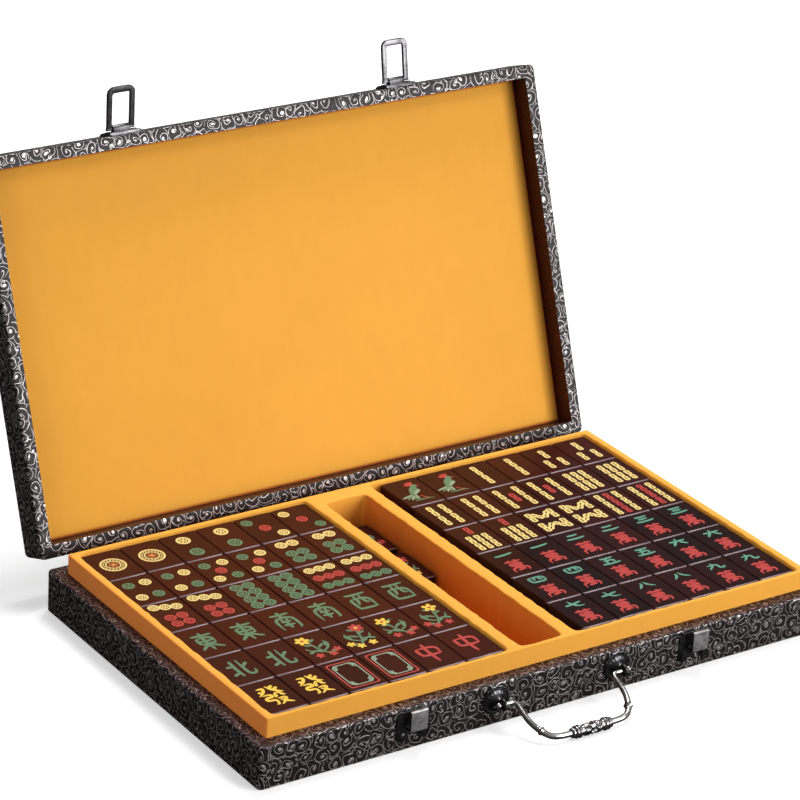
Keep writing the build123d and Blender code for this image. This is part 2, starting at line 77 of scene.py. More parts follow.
# Main places of the case, in millimetres: the same that its solids are drawn from
WIDTH, DEPTH, BASE_HIGH = 430.0, 259.0, 29.0
FRONT_Y = -166.73
RIM_GAP = 0.3
WALL, LID_WALL, COVER, FLAT_BOARD = 8.0, 7.4, 0.6, 3.0
LID_ANGLE = 110.0
HINGE_REACH, HINGE_DROP = 4.2, 1.0
TRAY_TOP, TRAY_GAP = 42.0, 0.4
WELL_FRONT, WELL_BACK, WELL_SIDE = 3.0, 3.9, 5.8
LEFT_WELL_END, RIGHT_WELL_START = -29.3, 21.8
SLOT_X, SLOT_BACK = (-20.0, 11.6), 235.5
TILE_WIDTH, TILE_LENGTH = 28.0, 38.0
HANDLE_X, HANDLE_HIGH, HANDLE_REACH = (-46.0, 46.0), 17.8, 8.0
HANDLE_DROP, GRIP_RADIUS, GRIP_CLEAR = 32.6, 4.3, 0.1
HOOK_FACE = 5.7

# How near two points of a solid's or a new mesh must be to be one, in metres
SOLID_JOIN, MESH_JOIN = 2e-6, 1e-6
# Folds in degrees: below the first two faces are one flat, past the second an edge is sharp
FLAT_FOLD, SHARP_FOLD = 0.8, 30.0


def framed(start, x, y, z):
    """A matrix with three directions and a start given in millimetres."""
    turned = Matrix((x, y, z)).transposed().to_4x4()
    return Matrix.Translation(start * MM) @ turned


def lid_frame():
    """The open lid's frame: y from its hinge edge to its front edge, z out of its mouth."""
    along = Vector((0, -cos(radians(LID_ANGLE)), sin(radians(LID_ANGLE))))
    out = X.cross(along)
    axis = Vector((0, FRONT_Y + DEPTH + HINGE_REACH, BASE_HIGH + RIM_GAP / 2 - HINGE_DROP))
    start = axis + along * HINGE_REACH - out * (RIM_GAP / 2 + HINGE_DROP)
    return framed(start, X, along, out)


def handle_frame():
    """The hanging handle's frame: y from its pivot towards its grip."""
    dip = asin((HANDLE_HIGH - GRIP_RADIUS - GRIP_CLEAR) / HANDLE_DROP)
    along = Vector((0, -cos(dip), -sin(dip)))
    start = Vector((0, FRONT_Y - HANDLE_REACH, HANDLE_HIGH))
    return framed(start, X, along, X.cross(along))


CASE = Matrix.Translation((0, FRONT_Y * MM, 0))
LID = lid_frame()
HANDLE = handle_frame()


# ------------------------------------------------------------------ settings
class CoveringSettings(PropertyGroup):
    """The scroll-patterned covering."""

    curl: FloatProperty(
        name="Curl size", description="Distance from one curl to the next", default=0.0100, unit="LENGTH"
    )
    line: FloatProperty(
        name="Line width", description="Width of the scroll lines", default=0.00043, unit="LENGTH"
    )
    ground: FloatVectorProperty(
        name="Ground", description="Colour between the scrolls", subtype="COLOR",
        default=(0.0085, 0.0050, 0.0054),
    )
    scroll: FloatVectorProperty(
        name="Scroll", description="Colour of the scrolls", subtype="COLOR", default=(0.66, 0.60, 0.605)
    )


class SuedeSettings(PropertyGroup):
    """The lining of the tray and lid."""

    colour: FloatVectorProperty(
        name="Suede", description="Colour of the lining", subtype="COLOR", default=(0.86, 0.395, 0.052)
    )
    edge: FloatProperty(
        name="Edge radius", description="Roundness of the tray's top edges", default=0.0009, unit="LENGTH"
    )


class TileSettings(PropertyGroup):
    """The tiles and the paints of their marks."""

    body: FloatVectorProperty(
        name="Tile", description="Colour of the tiles", subtype="COLOR", default=(0.046, 0.0068, 0.0040)
    )
    corner: FloatProperty(
        name="Corner radius", description="Plan radius of a tile's corners", default=0.0021, unit="LENGTH"
    )
    edge: FloatProperty(
        name="Edge radius", description="Width of a tile's eased face edges", default=0.0007, unit="LENGTH"
    )
    red: FloatVectorProperty(
        name="Red", description="Red paint", subtype="COLOR", default=(0.44, 0.034, 0.030)
    )
    green: FloatVectorProperty(
        name="Green", description="Green paint", subtype="COLOR", default=(0.085, 0.190, 0.098)
    )
    cream: FloatVectorProperty(
        name="Cream", description="Cream paint", subtype="COLOR", default=(0.82, 0.62, 0.22)
    )
    gold: FloatVectorProperty(
        name="Gold", description="Yellow paint", subtype="COLOR", default=(0.84, 0.53, 0.06)
    )
    brown: FloatVectorProperty(
        name="Brown", description="Red-brown paint", subtype="COLOR", default=(0.40, 0.10, 0.03)
    )
    sage: FloatVectorProperty(
        name="Sage", description="Pale grey-green paint", subtype="COLOR", default=(0.25, 0.33, 0.23)
    )
    teal: FloatVectorProperty(
        name="Teal", description="Blue-green paint", subtype="COLOR", default=(0.095, 0.29, 0.20)
    )


class FittingSettings(PropertyGroup):
    """The metal fittings."""

    pewter: FloatVectorProperty(
        name="Pewter", description="Colour of the hooks and handle", subtype="COLOR",
        default=(0.40, 0.39, 0.39),
    )
    gunmetal: FloatVectorProperty(
        name="Gunmetal", description="Colour of the rosettes, plates and loops", subtype="COLOR",
        default=(0.075, 0.073, 0.076),
    )
    steel: FloatVectorProperty(
        name="Steel", description="Colour of the hinges", subtype="COLOR", default=(0.20, 0.19, 0.18)
    )


class StageSettings(PropertyGroup):
    """The floor, lamps and camera."""

    lens: FloatProperty(name="Lens", description="Focal length", default=163.71, unit="CAMERA")
    key: FloatProperty(
        name="Key lamp", description="Power of the large lamp overhead", default=38.0, unit="POWER"
    )
    front: FloatProperty(
        name="Front lamp", description="Power of the wide low lamp in front", default=50.0, unit="POWER"
    )
    side: FloatProperty(
        name="Side lamp", description="Power of the small lamp at the right", default=12.0, unit="POWER"
    )
    fill: FloatProperty(
        name="Fill lamp", description="Power of the weak lamp at the left", default=7.0, unit="POWER"
    )
    surround: FloatProperty(name="Surround", description="Strength of the light from all round", default=0.26)
    shine: FloatProperty(
        name="Shine", description="Most light from all round that shiny things show", default=0.50
    )


# ------------------------------------------------------------------ meshes
def show(name, mesh, body, material=None, stands_for=()):
    """Put a mesh in the scene as a piece that moves with a body."""
    piece = bpy.data.objects.new(name, mesh)
    bpy.context.scene.collection.objects.link(piece)
    if material:
        mesh.materials.clear()
        mesh.materials.append(material)
    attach(piece, body)
    if stands_for:
        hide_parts(*stands_for)
    return piece


def dress(node, material):
    """Give a solid's own node a material."""
    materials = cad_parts[node].data.materials
    materials.clear()
    materials.append(material)


def smooth(mesh, angle):
    """Shade a mesh smooth, with its edges sharp past an angle."""
    mesh.polygons.foreach_set("use_smooth", [True] * len(mesh.polygons))
    mesh.set_sharp_from_angle(angle=radians(angle))
    mesh.update()


@contextmanager
def editing(mesh):
    """Open a mesh for editing and write it back afterwards."""
    shape = bmesh.new()
    shape.from_mesh(mesh)
    yield shape
    shape.to_mesh(mesh)
    shape.free()


def merged_copy(node, name, bevel=0.0):
    """A copy of a solid's mesh with its corners joined, its flats whole and its edges eased."""
    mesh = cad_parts[node].data.copy()
    mesh.name = name
    with editing(mesh) as shape:
        bmesh.ops.remove_doubles(shape, verts=shape.verts, dist=SOLID_JOIN)
        bmesh.ops.dissolve_limit(
            shape, angle_limit=radians(FLAT_FOLD), verts=shape.verts, edges=shape.edges
        )
        if bevel:
            folded = (edge for edge in shape.edges if len(edge.link_faces) == 2)
            sharp = [edge for edge in folded if edge.calc_face_angle(0) > radians(SHARP_FOLD)]
            bmesh.ops.bevel(
                shape, geom=sharp, offset=bevel * MM, segments=2, profile=0.6,
                affect="EDGES", clamp_overlap=True,
            )
        bmesh.ops.recalc_face_normals(shape, faces=shape.faces)
    return mesh


def refined(node, body, material, bevel):
    """Show a solid with eased edges in place of its plain node."""
    name = f"{node}_finish"
    mesh = merged_copy(node, name, bevel)
    smooth(mesh, 35.0)
    return show(name, mesh, body, material, (node,))


def mesh_of(name, points, faces, place=Matrix.Identity(4)):
    """A mesh from points in millimetres, in a frame."""
    mesh = bpy.data.meshes.new(name)
    mesh.from_pydata([place @ (Vector(point) * MM) for point in points], [], faces)
    mesh.update()
    return mesh


def tidy_normals(mesh):
    """Join what touches and turn every face outwards."""
    with editing(mesh) as shape:
        bmesh.ops.remove_doubles(shape, verts=shape.verts, dist=MESH_JOIN)
        bmesh.ops.recalc_face_normals(shape, faces=shape.faces)
    return mesh


def gathered(name, meshes):
    """Several meshes as one."""
    shape = bmesh.new()
    for mesh in meshes:
        shape.from_mesh(mesh)
        bpy.data.meshes.remove(mesh)
    whole = bpy.data.meshes.new(name)
    shape.to_mesh(whole)
    shape.free()
    return whole


def tube(rings, closed=False):
    """Points and faces of rings joined one after another, with a lid at each end of an open row."""
    around = len(rings[0])
    points = [point for ring in rings for point in ring]
    faces = []
    for step in range(len(rings) if closed else len(rings) - 1):
        for side in range(around):
            a, b = step * around + side, step * around + (side + 1) % around
            after = ((step + 1) % len(rings) - step) * around
            faces.append((a, b, b + after, a + after))
    if not closed:
        faces.append(tuple(reversed(range(around))))
        faces.append(tuple(range(len(points) - around, len(points))))
    return points, faces


def angles_round(count):
    """Even angles round a full turn."""
    return [2 * pi * step / count for step in range(count)]


def turned(name, profile, place, sides, carving=None):
    """A turned body: its profile as heights and radii along its axis, carved a little where asked."""
    rings, cuts = [], []
    for height, radius in profile:
        ring = []
        for angle in angles_round(sides):
            cut = carving(height, radius, angle) if carving else 0.0
            ring.append(((radius + cut) * cos(angle), (radius + cut) * sin(angle), height))
            cuts.append(cut)
        rings.append(ring)
    mesh = mesh_of(name, *tube(rings), place)
    if carving:
        # 1 in the deep cuts and 0 on what stands out
        hollow = mesh.attributes.new("hollow", "FLOAT", "POINT")
        hollow.data.foreach_set("value", [min(max(0.2 - 4.0 * cut, 0.0), 1.0) for cut in cuts])
    return tidy_normals(mesh)


def flowing(guides):
    """A smooth line led by guide points, from the first to the last: a uniform cubic B-spline."""
    steps = 12
    ends = [guides[0]] * 2 + list(guides) + [guides[-1]] * 2
    line = []
    for four in zip(ends, ends[1:], ends[2:], ends[3:]):
        for step in range(steps):
            t = step / steps
            pull = ((1 - t) ** 3, 3 * t**3 - 6 * t**2 + 4, 3 * t + 3 * t**2 - 3 * t**3 + 1, t**3)
            line.append(tuple(sum(p[i] * w for p, w in zip(four, pull)) / 6 for i in range(2)))
    return [*line, tuple(guides[-1])]


def swept(name, line, width_at, place):
    """A round bar along a flat line, its radius given for each point of the line."""
    rings = []
    for i, (x, y) in enumerate(line):
        before, after = line[max(i - 1, 0)], line[min(i + 1, len(line) - 1)]
        along = Vector((after[0] - before[0], after[1] - before[1])).normalized()
        radius = width_at(x, y)
        ring = []
        for angle in angles_round(16):
            out = radius * cos(angle)
            ring.append((x - along.y * out, y + along.x * out, radius * sin(angle)))
        rings.append(ring)
    return tidy_normals(mesh_of(name, *tube(rings), place))


def ring_bar(name, big, small, place):
    """A round ring of round bar, about the z axis."""
    rings = []
    for turn in angles_round(28):
        outs = [(big + small * cos(angle), small * sin(angle)) for angle in angles_round(12)]
        rings.append([(out * cos(turn), out * sin(turn), up) for out, up in outs])
    return tidy_normals(mesh_of(name, *tube(rings, closed=True), place))


# ------------------------------------------------------------------ node building
def feed(tree, socket, value):
    """Set a socket, or wire it to another one."""
    if isinstance(value, bpy.types.NodeSocket):
        tree.links.new(value, socket)
    elif isinstance(value, (tuple, list)) and socket.type == "RGBA" and len(value) == 3:
        socket.default_value = (*value, 1.0)
    else:
        socket.default_value = value


def add(tree, kind, inputs=None, **settings):
    """Add a node with its settings, and its inputs by name or number."""
    node = tree.nodes.new(kind)
    for key, value in settings.items():
        setattr(node, key, value)
    for key, value in (inputs or {}).items():
        feed(tree, node.inputs[key], value)
    return node


def calc(tree, operation, *values):
    """A Math node's result."""
    return add(tree, "ShaderNodeMath", dict(enumerate(values)), operation=operation).outputs[0]


def vcalc(tree, operation, a, b=None, scale=None, out=0):
    """A Vector Math node's result."""
    inputs = {0: a}
    if b is not None:
        inputs[1] = b
    if scale is not None:
        inputs["Scale"] = scale
    return add(tree, "ShaderNodeVectorMath", inputs, operation=operation).outputs[out]


def joined(tree, value):
    """One number as all three parts of a vector."""
    return add(tree, "ShaderNodeCombineXYZ", {0: value, 1: value, 2: value}).outputs[0]


def spread(tree, value, start, end, low=0.0, high=1.0, **settings):
    """A value's stretch from start to end, spread over low to high."""
    inputs = {"Value": value, "From Min": start, "From Max": end, "To Min": low, "To Max": high}
    return add(tree, "ShaderNodeMapRange", inputs, **settings).outputs[0]


def step_down(tree, value, edge, soft):
    """1 below an edge, falling smoothly to 0 past it."""
    start = calc(tree, "SUBTRACT", edge, soft)
    end = calc(tree, "ADD", edge, soft)
    return spread(tree, value, start, end, 1.0, 0.0, interpolation_type="SMOOTHSTEP")


def between(tree, factor, low, high):
    """A number between two, by a factor from 0 to 1."""
    return spread(tree, factor, 0.0, 1.0, low, high)


def blend(tree, factor, a, b):
    """Two colours mixed, by a factor from 0 to 1."""
    node = add(tree, "ShaderNodeMix", data_type="RGBA")
    feed(tree, node.inputs[0], factor)
    feed(tree, node.inputs[6], a)
    feed(tree, node.inputs[7], b)
    return node.outputs[2]


def noise(tree, vector, scale, detail=2.0, roughness=0.5, out="Fac", dimensions="3D"):
    """A noise texture's value or colour."""
    inputs = {"Vector": vector, "Scale": scale, "Detail": detail, "Roughness": roughness}
    return add(tree, "ShaderNodeTexNoise", inputs, noise_dimensions=dimensions).outputs[out]


def wave(tree, vector, scale, distortion=0.0, direction="X"):
    """A wave texture's bands."""
    inputs = {"Vector": vector, "Scale": scale, "Distortion": distortion, "Detail": 2.0}
    return add(tree, "ShaderNodeTexWave", inputs, bands_direction=direction).outputs["Fac"]


def attribute(tree, name):
    """A number kept on the piece's faces or points."""
    return add(tree, "ShaderNodeAttribute", attribute_name=name).outputs["Fac"]


def object_coords(tree):
    """Places on the piece itself."""
    return add(tree, "ShaderNodeTexCoord").outputs["Object"]


def tint(colour, factor):
    """A colour made brighter or darker, up to full white."""
    return tuple(min(1.0, part * factor) for part in colour)


def effect(name, inputs, outputs):
    """A new shader node group with named inputs and outputs: the group, its input and its output node."""
    group = bpy.data.node_groups.new(name, "ShaderNodeTree")
    for label, kind in inputs.items():
        group.interface.new_socket(name=label, in_out="INPUT", socket_type=f"NodeSocket{kind}")
    for label in outputs:
        group.interface.new_socket(name=label, in_out="OUTPUT", socket_type="NodeSocketFloat")
    return group, group.nodes.new("NodeGroupInput"), group.nodes.new("NodeGroupOutput")


def use(tree, group, **inputs):
    """Place an effect in a material."""
    node = tree.nodes.new("ShaderNodeGroup")
    node.node_tree = group
    for key, value in inputs.items():
        feed(tree, node.inputs[key], value)
    return node


def material_with(name, **fixed):
    """A material, its tree and its main shader, with the shader's unchanging values set by name."""
    material = bpy.data.materials.new(name)
    material.use_nodes = True
    tree = material.node_tree
    shader = tree.nodes["Principled BSDF"]
    for key, value in fixed.items():
        feed(tree, shader.inputs[key.replace("_", " ")], value)
    return material, tree, shader


def surface(tree, shader, colour, roughness, height, depth, strength):
    """Give a shader its colour, its roughness and its bumps, with their depth in metres."""
    feed(tree, shader.inputs["Base Color"], colour)
    feed(tree, shader.inputs["Roughness"], roughness)
    inputs = {"Height": height, "Distance": depth, "Strength": strength}
    feed(tree, shader.inputs["Normal"], add(tree, "ShaderNodeBump", inputs).outputs[0])


# ------------------------------------------------------------------ effects
@cache
def scrolls():
    """Curls that wind out of round bulbs and run into thin vines, as on embossed book cloth."""
    sockets = {"Vector": "Vector", "Curl": "Float", "Line": "Float"}
    group, given, result = effect("Scrolls", sockets, ["Scrolls", "Tone"])
    curl, line = given.outputs["Curl"], given.outputs["Line"]
    spots = vcalc(group, "SCALE", given.outputs["Vector"], scale=1 / MM)
    drift = noise(group, spots, 0.10, detail=1.0, out="Color", dimensions="2D")
    drift = vcalc(group, "SCALE", vcalc(group, "SUBTRACT", drift, (0.5, 0.5, 0.5)), scale=5.0)
    spots = vcalc(group, "ADD", spots, drift)

    def cells_on(places, **settings):
        """Cells round middles that stray a little from a square grid."""
        inputs = {"Vector": places, "Scale": 1.0, "Randomness": 0.62}
        return add(group, "ShaderNodeTexVoronoi", inputs, voronoi_dimensions="2D", **settings).outputs

    def curls(size, pitch, reach, bulb, seed):
        """A mask of spirals, each with a bulb in its middle, their cells and a number for each cell."""
        size = joined(group, size)
        cells = vcalc(group, "ADD", vcalc(group, "DIVIDE", spots, size), (seed, seed, 0.0))
        found = cells_on(cells)
        away = vcalc(group, "MULTIPLY", vcalc(group, "SUBTRACT", cells, found["Position"]), size)
        across, up, _ = add(group, "ShaderNodeSeparateXYZ", {0: away}).outputs
        hand, start, lot = add(group, "ShaderNodeSeparateColor", {0: found["Color"]}).outputs
        distance = vcalc(group, "LENGTH", away, out=1)
        turn = calc(group, "DIVIDE", calc(group, "ARCTAN2", up, across), 2 * pi)
        turn = calc(group, "MULTIPLY", turn, calc(group, "SIGN", calc(group, "SUBTRACT", hand, 0.5)))
        wound = calc(group, "ADD", calc(group, "DIVIDE", distance, pitch), turn)
        wound = calc(group, "FRACT", calc(group, "ADD", calc(group, "ADD", wound, start), 4.0))
        off = calc(group, "SUBTRACT", 0.5, calc(group, "ABSOLUTE", calc(group, "SUBTRACT", wound, 0.5)))
        off = calc(group, "MULTIPLY", off, pitch)
        arm = step_down(group, off, calc(group, "MULTIPLY", line, 0.5), 0.13)
        arm = calc(group, "MULTIPLY", arm, step_down(group, distance, reach, 0.25))
        knob = step_down(group, distance, calc(group, "MULTIPLY_ADD", lot, 0.7, bulb), 0.22)
        return calc(group, "MAXIMUM", arm, knob), cells, lot

    big, cells, _ = curls(curl, pitch=3.3, reach=6.9, bulb=0.75, seed=3.7)
    edge = calc(group, "MULTIPLY", cells_on(cells, feature="DISTANCE_TO_EDGE")["Distance"], curl)
    vines = step_down(group, edge, calc(group, "MULTIPLY", line, 0.42), 0.13)
    broken = step_down(group, noise(group, spots, 0.16, detail=0.0, dimensions="2D"), 0.53, 0.02)
    vines = calc(group, "MULTIPLY", vines, broken)
    small, _, lot = curls(calc(group, "MULTIPLY", curl, 0.5), pitch=2.4, reach=2.6, bulb=0.55, seed=11.3)
    gap = calc(group, "MULTIPLY", step_down(group, lot, 0.42, 0.01), calc(group, "SUBTRACT", 1.0, broken))
    small = calc(group, "MULTIPLY", small, gap)
    lines = calc(group, "MAXIMUM", calc(group, "MAXIMUM", big, vines), small)
    feed(group, result.inputs["Scrolls"], lines)
    feed(group, result.inputs["Tone"], noise(group, spots, 0.35, detail=3.0, dimensions="2D"))
    return group


@cache
def grain():
    """Fine leathery grain."""
    group, given, result = effect("Grain", {"Vector": "Vector", "Fineness": "Float"}, ["Height"])
    place, fineness = given.outputs["Vector"], given.outputs["Fineness"]
    fine = noise(group, place, fineness, detail=3.0, roughness=0.6)
    pores = add(group, "ShaderNodeTexVoronoi", {"Vector": place, "Scale": fineness}).outputs["Distance"]
    feed(group, result.inputs["Height"], calc(group, "MULTIPLY_ADD", pores, 0.5, fine))
    return group


@cache
def nap():
    """Brushed suede: soft patches where the nap lies over, and fine fibres."""
    group, given, result = effect("Nap", {"Vector": "Vector"}, ["Shade", "Height"])
    place = given.outputs["Vector"]
    broad = noise(group, place, 9.0, detail=3.0, roughness=0.55)
    streaks = vcalc(group, "MULTIPLY", place, (1.0, 0.35, 0.35))
    brushed = noise(group, streaks, 140.0, roughness=0.6)
    fibres = noise(group, place, 2600.0, roughness=0.7)
    shade = calc(group, "MULTIPLY_ADD", brushed, 0.25, calc(group, "MULTIPLY", fibres, 0.2))
    feed(group, result.inputs["Shade"], calc(group, "MULTIPLY_ADD", broad, 0.55, shade))
    feed(group, result.inputs["Height"], calc(group, "MULTIPLY_ADD", brushed, 0.4, fibres))
    return group


@cache
def tarnish():
    """Casting marks, tarnish that gathers in patches and fine scratches."""
    group, given, result = effect("Tarnish", {"Vector": "Vector"}, ["Dark", "Scratches", "Height"])
    place = given.outputs["Vector"]
    patches = noise(group, place, 260.0, detail=4.0, roughness=0.62)
    streaks = vcalc(group, "MULTIPLY", place, (0.12, 1.0, 1.0))
    pits = noise(group, place, 1500.0, roughness=0.6)
    height = calc(group, "MULTIPLY_ADD", pits, 0.7, calc(group, "MULTIPLY", patches, 0.6))
    feed(group, result.inputs["Dark"], spread(group, patches, 0.42, 0.66))
    feed(group, result.inputs["Scratches"], noise(group, streaks, 2400.0, roughness=0.6))
    feed(group, result.inputs["Height"], height)
    return group


# ------------------------------------------------------------------ finishes
@cache
def covering():
    """Glossy embossed leatherette with silvery scrolls on a dark ground, and painted red bounce light from
    the orange suede on its inward faces and on the base's rim.
    """
    looks = bpy.context.scene.case_covering
    material, tree, shader = material_with(
        "Scroll leatherette", Specular_IOR_Level=0.20, Coat_Weight=0.10, Coat_Roughness=0.26
    )
    wrap = add(tree, "ShaderNodeUVMap", uv_map="wrap").outputs[0]
    lines, tone = use(tree, scrolls(), Vector=wrap, Curl=looks.curl / MM, Line=looks.line / MM).outputs
    leather = use(tree, grain(), Vector=wrap, Fineness=1500.0).outputs[0]
    rubbed = noise(tree, wrap, 420.0, detail=3.0, roughness=0.6, dimensions="2D")
    ground = blend(tree, tone, tint(looks.ground, 0.6), tint(looks.ground, 1.9))
    silver = blend(tree, rubbed, tint(looks.scroll, 0.42), tint(looks.scroll, 1.22))
    # Painted bounce light: a red tint from the orange suede, with dimmed scrolls, on inward faces and half of
    # it on the base's rim
    turned_in = attribute(tree, "turned_in")
    silver = blend(tree, turned_in, silver, (0.11, 0.028, 0.022))
    ground = blend(tree, turned_in, ground, (0.030, 0.0022, 0.0016))
    feed(tree, shader.inputs["Metallic"], calc(tree, "MULTIPLY", lines, 0.88))
    height = calc(tree, "MULTIPLY_ADD", leather, 0.16, lines)
    colour, roughness = blend(tree, lines, ground, silver), between(tree, lines, 0.52, 0.42)
    surface(tree, shader, colour, roughness, height, depth=0.00030, strength=0.9)
    return material


@cache
def suede():
    """Orange suede cloth, with painted redder shade on the tray's left side and painted dark red shade on its
    slot's side walls and round the lid lining's edges.
    """
    looks = bpy.context.scene.case_suede
    material, tree, shader = material_with(
        "Orange suede", Specular_IOR_Level=0.25, Sheen_Weight=0.35, Sheen_Roughness=0.4,
        Sheen_Tint=(1.0, 0.72, 0.42),
    )
    shade, height = use(tree, nap(), Vector=object_coords(tree)).outputs
    cloth = blend(tree, shade, tint(looks.colour, 0.86), tint(looks.colour, 1.12))
    # Painted shade: the tray's outer left side goes a redder orange
    side = calc(tree, "MULTIPLY", attribute(tree, "side"), 0.85)
    cloth = blend(tree, side, cloth, (0.97, 0.27, 0.055))
    # Painted shade: dark red on the slot's side walls and round the lid lining's edges
    edge = calc(tree, "MULTIPLY", calc(tree, "POWER", attribute(tree, "edge"), 2.0), 0.8)
    cloth = blend(tree, edge, cloth, (0.50, 0.085, 0.012))
    surface(tree, shader, cloth, between(tree, shade, 0.82, 0.98), height, depth=0.00012, strength=0.6)
    return material


@cache
def melamine():
    """Polished dark red-brown tile with a random tone for each tile; a painted reflection makes some rows
    darker and bluer, and a painted highlight pales the eased edges that face the front or back.
    """
    looks = bpy.context.scene.case_tiles
    material, tree, shader = material_with("Tile body", Specular_IOR_Level=0.07, Coat_Roughness=0.2)
    place = object_coords(tree)
    cloud = noise(tree, place, 70.0, detail=3.0, roughness=0.6)
    # Each tile's random tone rides on its row's painted reflection: low is darker and bluer, high redder
    tone = calc(tree, "MULTIPLY_ADD", cloud, 0.4, calc(tree, "SUBTRACT", attribute(tree, "lot"), 0.2))
    red, green, blue = looks.body
    body = blend(tree, tone, (red * 0.14, green * 0.5, blue), tint(looks.body, 1.5))
    rim = attribute(tree, "rim")
    feed(tree, shader.inputs["Coat Weight"], rim)
    # Painted highlight: the front- and back-facing eased edges go pale
    colour = blend(tree, rim, body, (0.25, 0.175, 0.20))
    roughness = between(tree, noise(tree, place, 160.0, detail=3.0, roughness=0.65), 0.24, 0.42)
    surface(tree, shader, colour, roughness, noise(tree, place, 220.0), depth=0.00006, strength=0.35)
    return material


@cache
def paint(name):
    """Enamel in a cut mark."""
    colour = getattr(bpy.context.scene.case_tiles, name)
    material, tree, shader = material_with(f"{name.capitalize()} paint", Specular_IOR_Level=0.4)
    place = object_coords(tree)
    cloud = noise(tree, place, 900.0, detail=3.0, roughness=0.6)
    colour = blend(tree, cloud, tint(colour, 0.72), tint(colour, 1.25))
    roughness = between(tree, noise(tree, place, 300.0), 0.35, 0.6)
    surface(tree, shader, colour, roughness, noise(tree, place, 1400.0), depth=0.00005, strength=0.5)
    return material


def aged_metal(name, bright, dark, polish, depth, strength, hollow=None):
    """Cast or pressed metal: bright where it is rubbed, dark where tarnish gathers, and finely scratched."""
    material, tree, shader = material_with(name, Metallic=1.0)
    tarnished, scratches, height = use(tree, tarnish(), Vector=object_coords(tree)).outputs
    colour = blend(tree, tarnished, bright, dark)
    if hollow:
        colour = blend(tree, attribute(tree, "hollow"), colour, hollow)
    surface(tree, shader, colour, between(tree, scratches, *polish), height, depth, strength)
    return material


@cache
def pewter(finish):
    """Antique plated die-cast metal, dark in its hollows: polished on the handle, satin on the hooks."""
    colour = bpy.context.scene.case_fittings.pewter
    polish = {"polished": (0.12, 0.30), "satin": (0.42, 0.55)}[finish]
    name, bright, dark = f"{finish.capitalize()} pewter", tint(colour, 1.15), tint(colour, 0.6)
    return aged_metal(name, bright, dark, polish, depth=0.00005, strength=0.4, hollow=tint(colour, 0.14))


@cache
def gunmetal(tone):
    """The same casting left dark, and paler on the loops."""
    colour = tint(bpy.context.scene.case_fittings.gunmetal, {"dark": 1.0, "pale": 1.35}[tone])
    name, bright, dark = f"{tone.capitalize()} gunmetal", tint(colour, 1.5), tint(colour, 0.6)
    return aged_metal(name, bright, dark, (0.20, 0.38), depth=0.00006, strength=0.4)


@cache
def hinge_steel():
    """Darkened steel of the hinges and screws."""
    colour = bpy.context.scene.case_fittings.steel
    bright, dark = tint(colour, 1.3), tint(colour, 0.5)
    return aged_metal("Hinge steel", bright, dark, (0.28, 0.5), depth=0.00006, strength=0.5)


@cache
def wood(direction):
    """Plain pale board under the covering, with its grain along X or Y."""
    material, tree, shader = material_with(f"Board along {direction}")
    squash = (0.06, 1.0, 1.0) if direction == "X" else (1.0, 0.06, 1.0)
    place = vcalc(tree, "MULTIPLY", object_coords(tree), squash)
    fibres = noise(tree, place, 420.0, detail=4.0, roughness=0.6)
    bands = wave(tree, place, 22.0, distortion=5.0)
    shade = calc(tree, "MULTIPLY_ADD", bands, 0.45, calc(tree, "MULTIPLY", fibres, 0.6))
    colour = blend(tree, shade, (0.36, 0.21, 0.10), (0.62, 0.43, 0.25))
    surface(tree, shader, colour, 0.75, fibres, depth=0.0002, strength=0.5)
    return material


@cache
def under_cloth():
    """Dull black woven cloth glued under the case."""
    material, tree, shader = material_with("Under cloth")
    place = object_coords(tree)
    weave = calc(tree, "MULTIPLY", wave(tree, place, 330.0), wave(tree, place, 330.0, direction="Y"))
    colour = blend(tree, weave, (0.010, 0.009, 0.009), (0.045, 0.042, 0.040))
    surface(tree, shader, colour, 0.9, weave, depth=0.0001, strength=0.8)
    return material


# ------------------------------------------------------------------ covering
def wrap_map(mesh, place, high, inner, rim_bounce):
    """Unroll a box's covering: each side's map runs on from its rim, so the pattern goes round the edges."""
    level = 0.72
    half_width, depth = WIDTH * MM / 2, DEPTH * MM
    back = place.inverted()
    turn = back.to_3x3()
    # Painted bounce light from the orange suede: full on faces that turn inwards, the rim's share on faces
    # that look up
    mesh.attributes.new("turned_in", "FLOAT", "FACE")
    mesh.uv_layers.new(name="wrap")
    turned_in, layer = mesh.attributes["turned_in"], mesh.uv_layers["wrap"]
    for face in mesh.polygons:
        normal, middle = turn @ face.normal, back @ face.center
        upright = abs(normal.z) > level
        across = abs(normal.x) > abs(normal.y)
        off_middle = middle.x if across else middle.y - depth / 2
        outward = (off_middle > 0) == ((normal.x if across else normal.y) > 0)
        turned_in.data[face.index].value = rim_bounce * (normal.z > 0) if upright else float(not outward)
        for corner in face.loop_indices:
            x, y, z = back @ mesh.vertices[mesh.loops[corner].vertex_index].co
            past_rim = high - z if outward else z - high - inner
            if upright:
                spot = (x, y)
            elif across:
                spot = (half_width + past_rim if middle.x > 0 else -half_width - past_rim, y)
            else:
                spot = (x, -past_rim if middle.y < depth / 2 else depth + past_rim)
            layer.data[corner].uv = spot


def cover_piece(node, body, place, high, inner, rim_bounce):
    """The covering of one half of the case, with the pattern wrapped round it."""
    name = f"{body}_covering"
    mesh = merged_copy(node, name)
    wrap_map(mesh, place, high * MM, inner * MM, rim_bounce)
    smooth(mesh, 40.0)
    show(name, mesh, body, covering(), (node,))


class CASE_OT_covering(Operator):
    """Cover the base and the lid with patterned leatherette"""

    bl_idname = "case.covering"
    bl_label = "Covering"

    def execute(self, context):
        # The base's rim gets half the painted bounce light from the suede, the lid's rim none
        cover_piece("base_cover", "base", CASE, BASE_HIGH, WALL + 2 * COVER, rim_bounce=0.5)
        cover_piece("lid_cover", "lid", LID, 0.0, LID_WALL + 2 * COVER, rim_bounce=0.0)
        return {"FINISHED"}


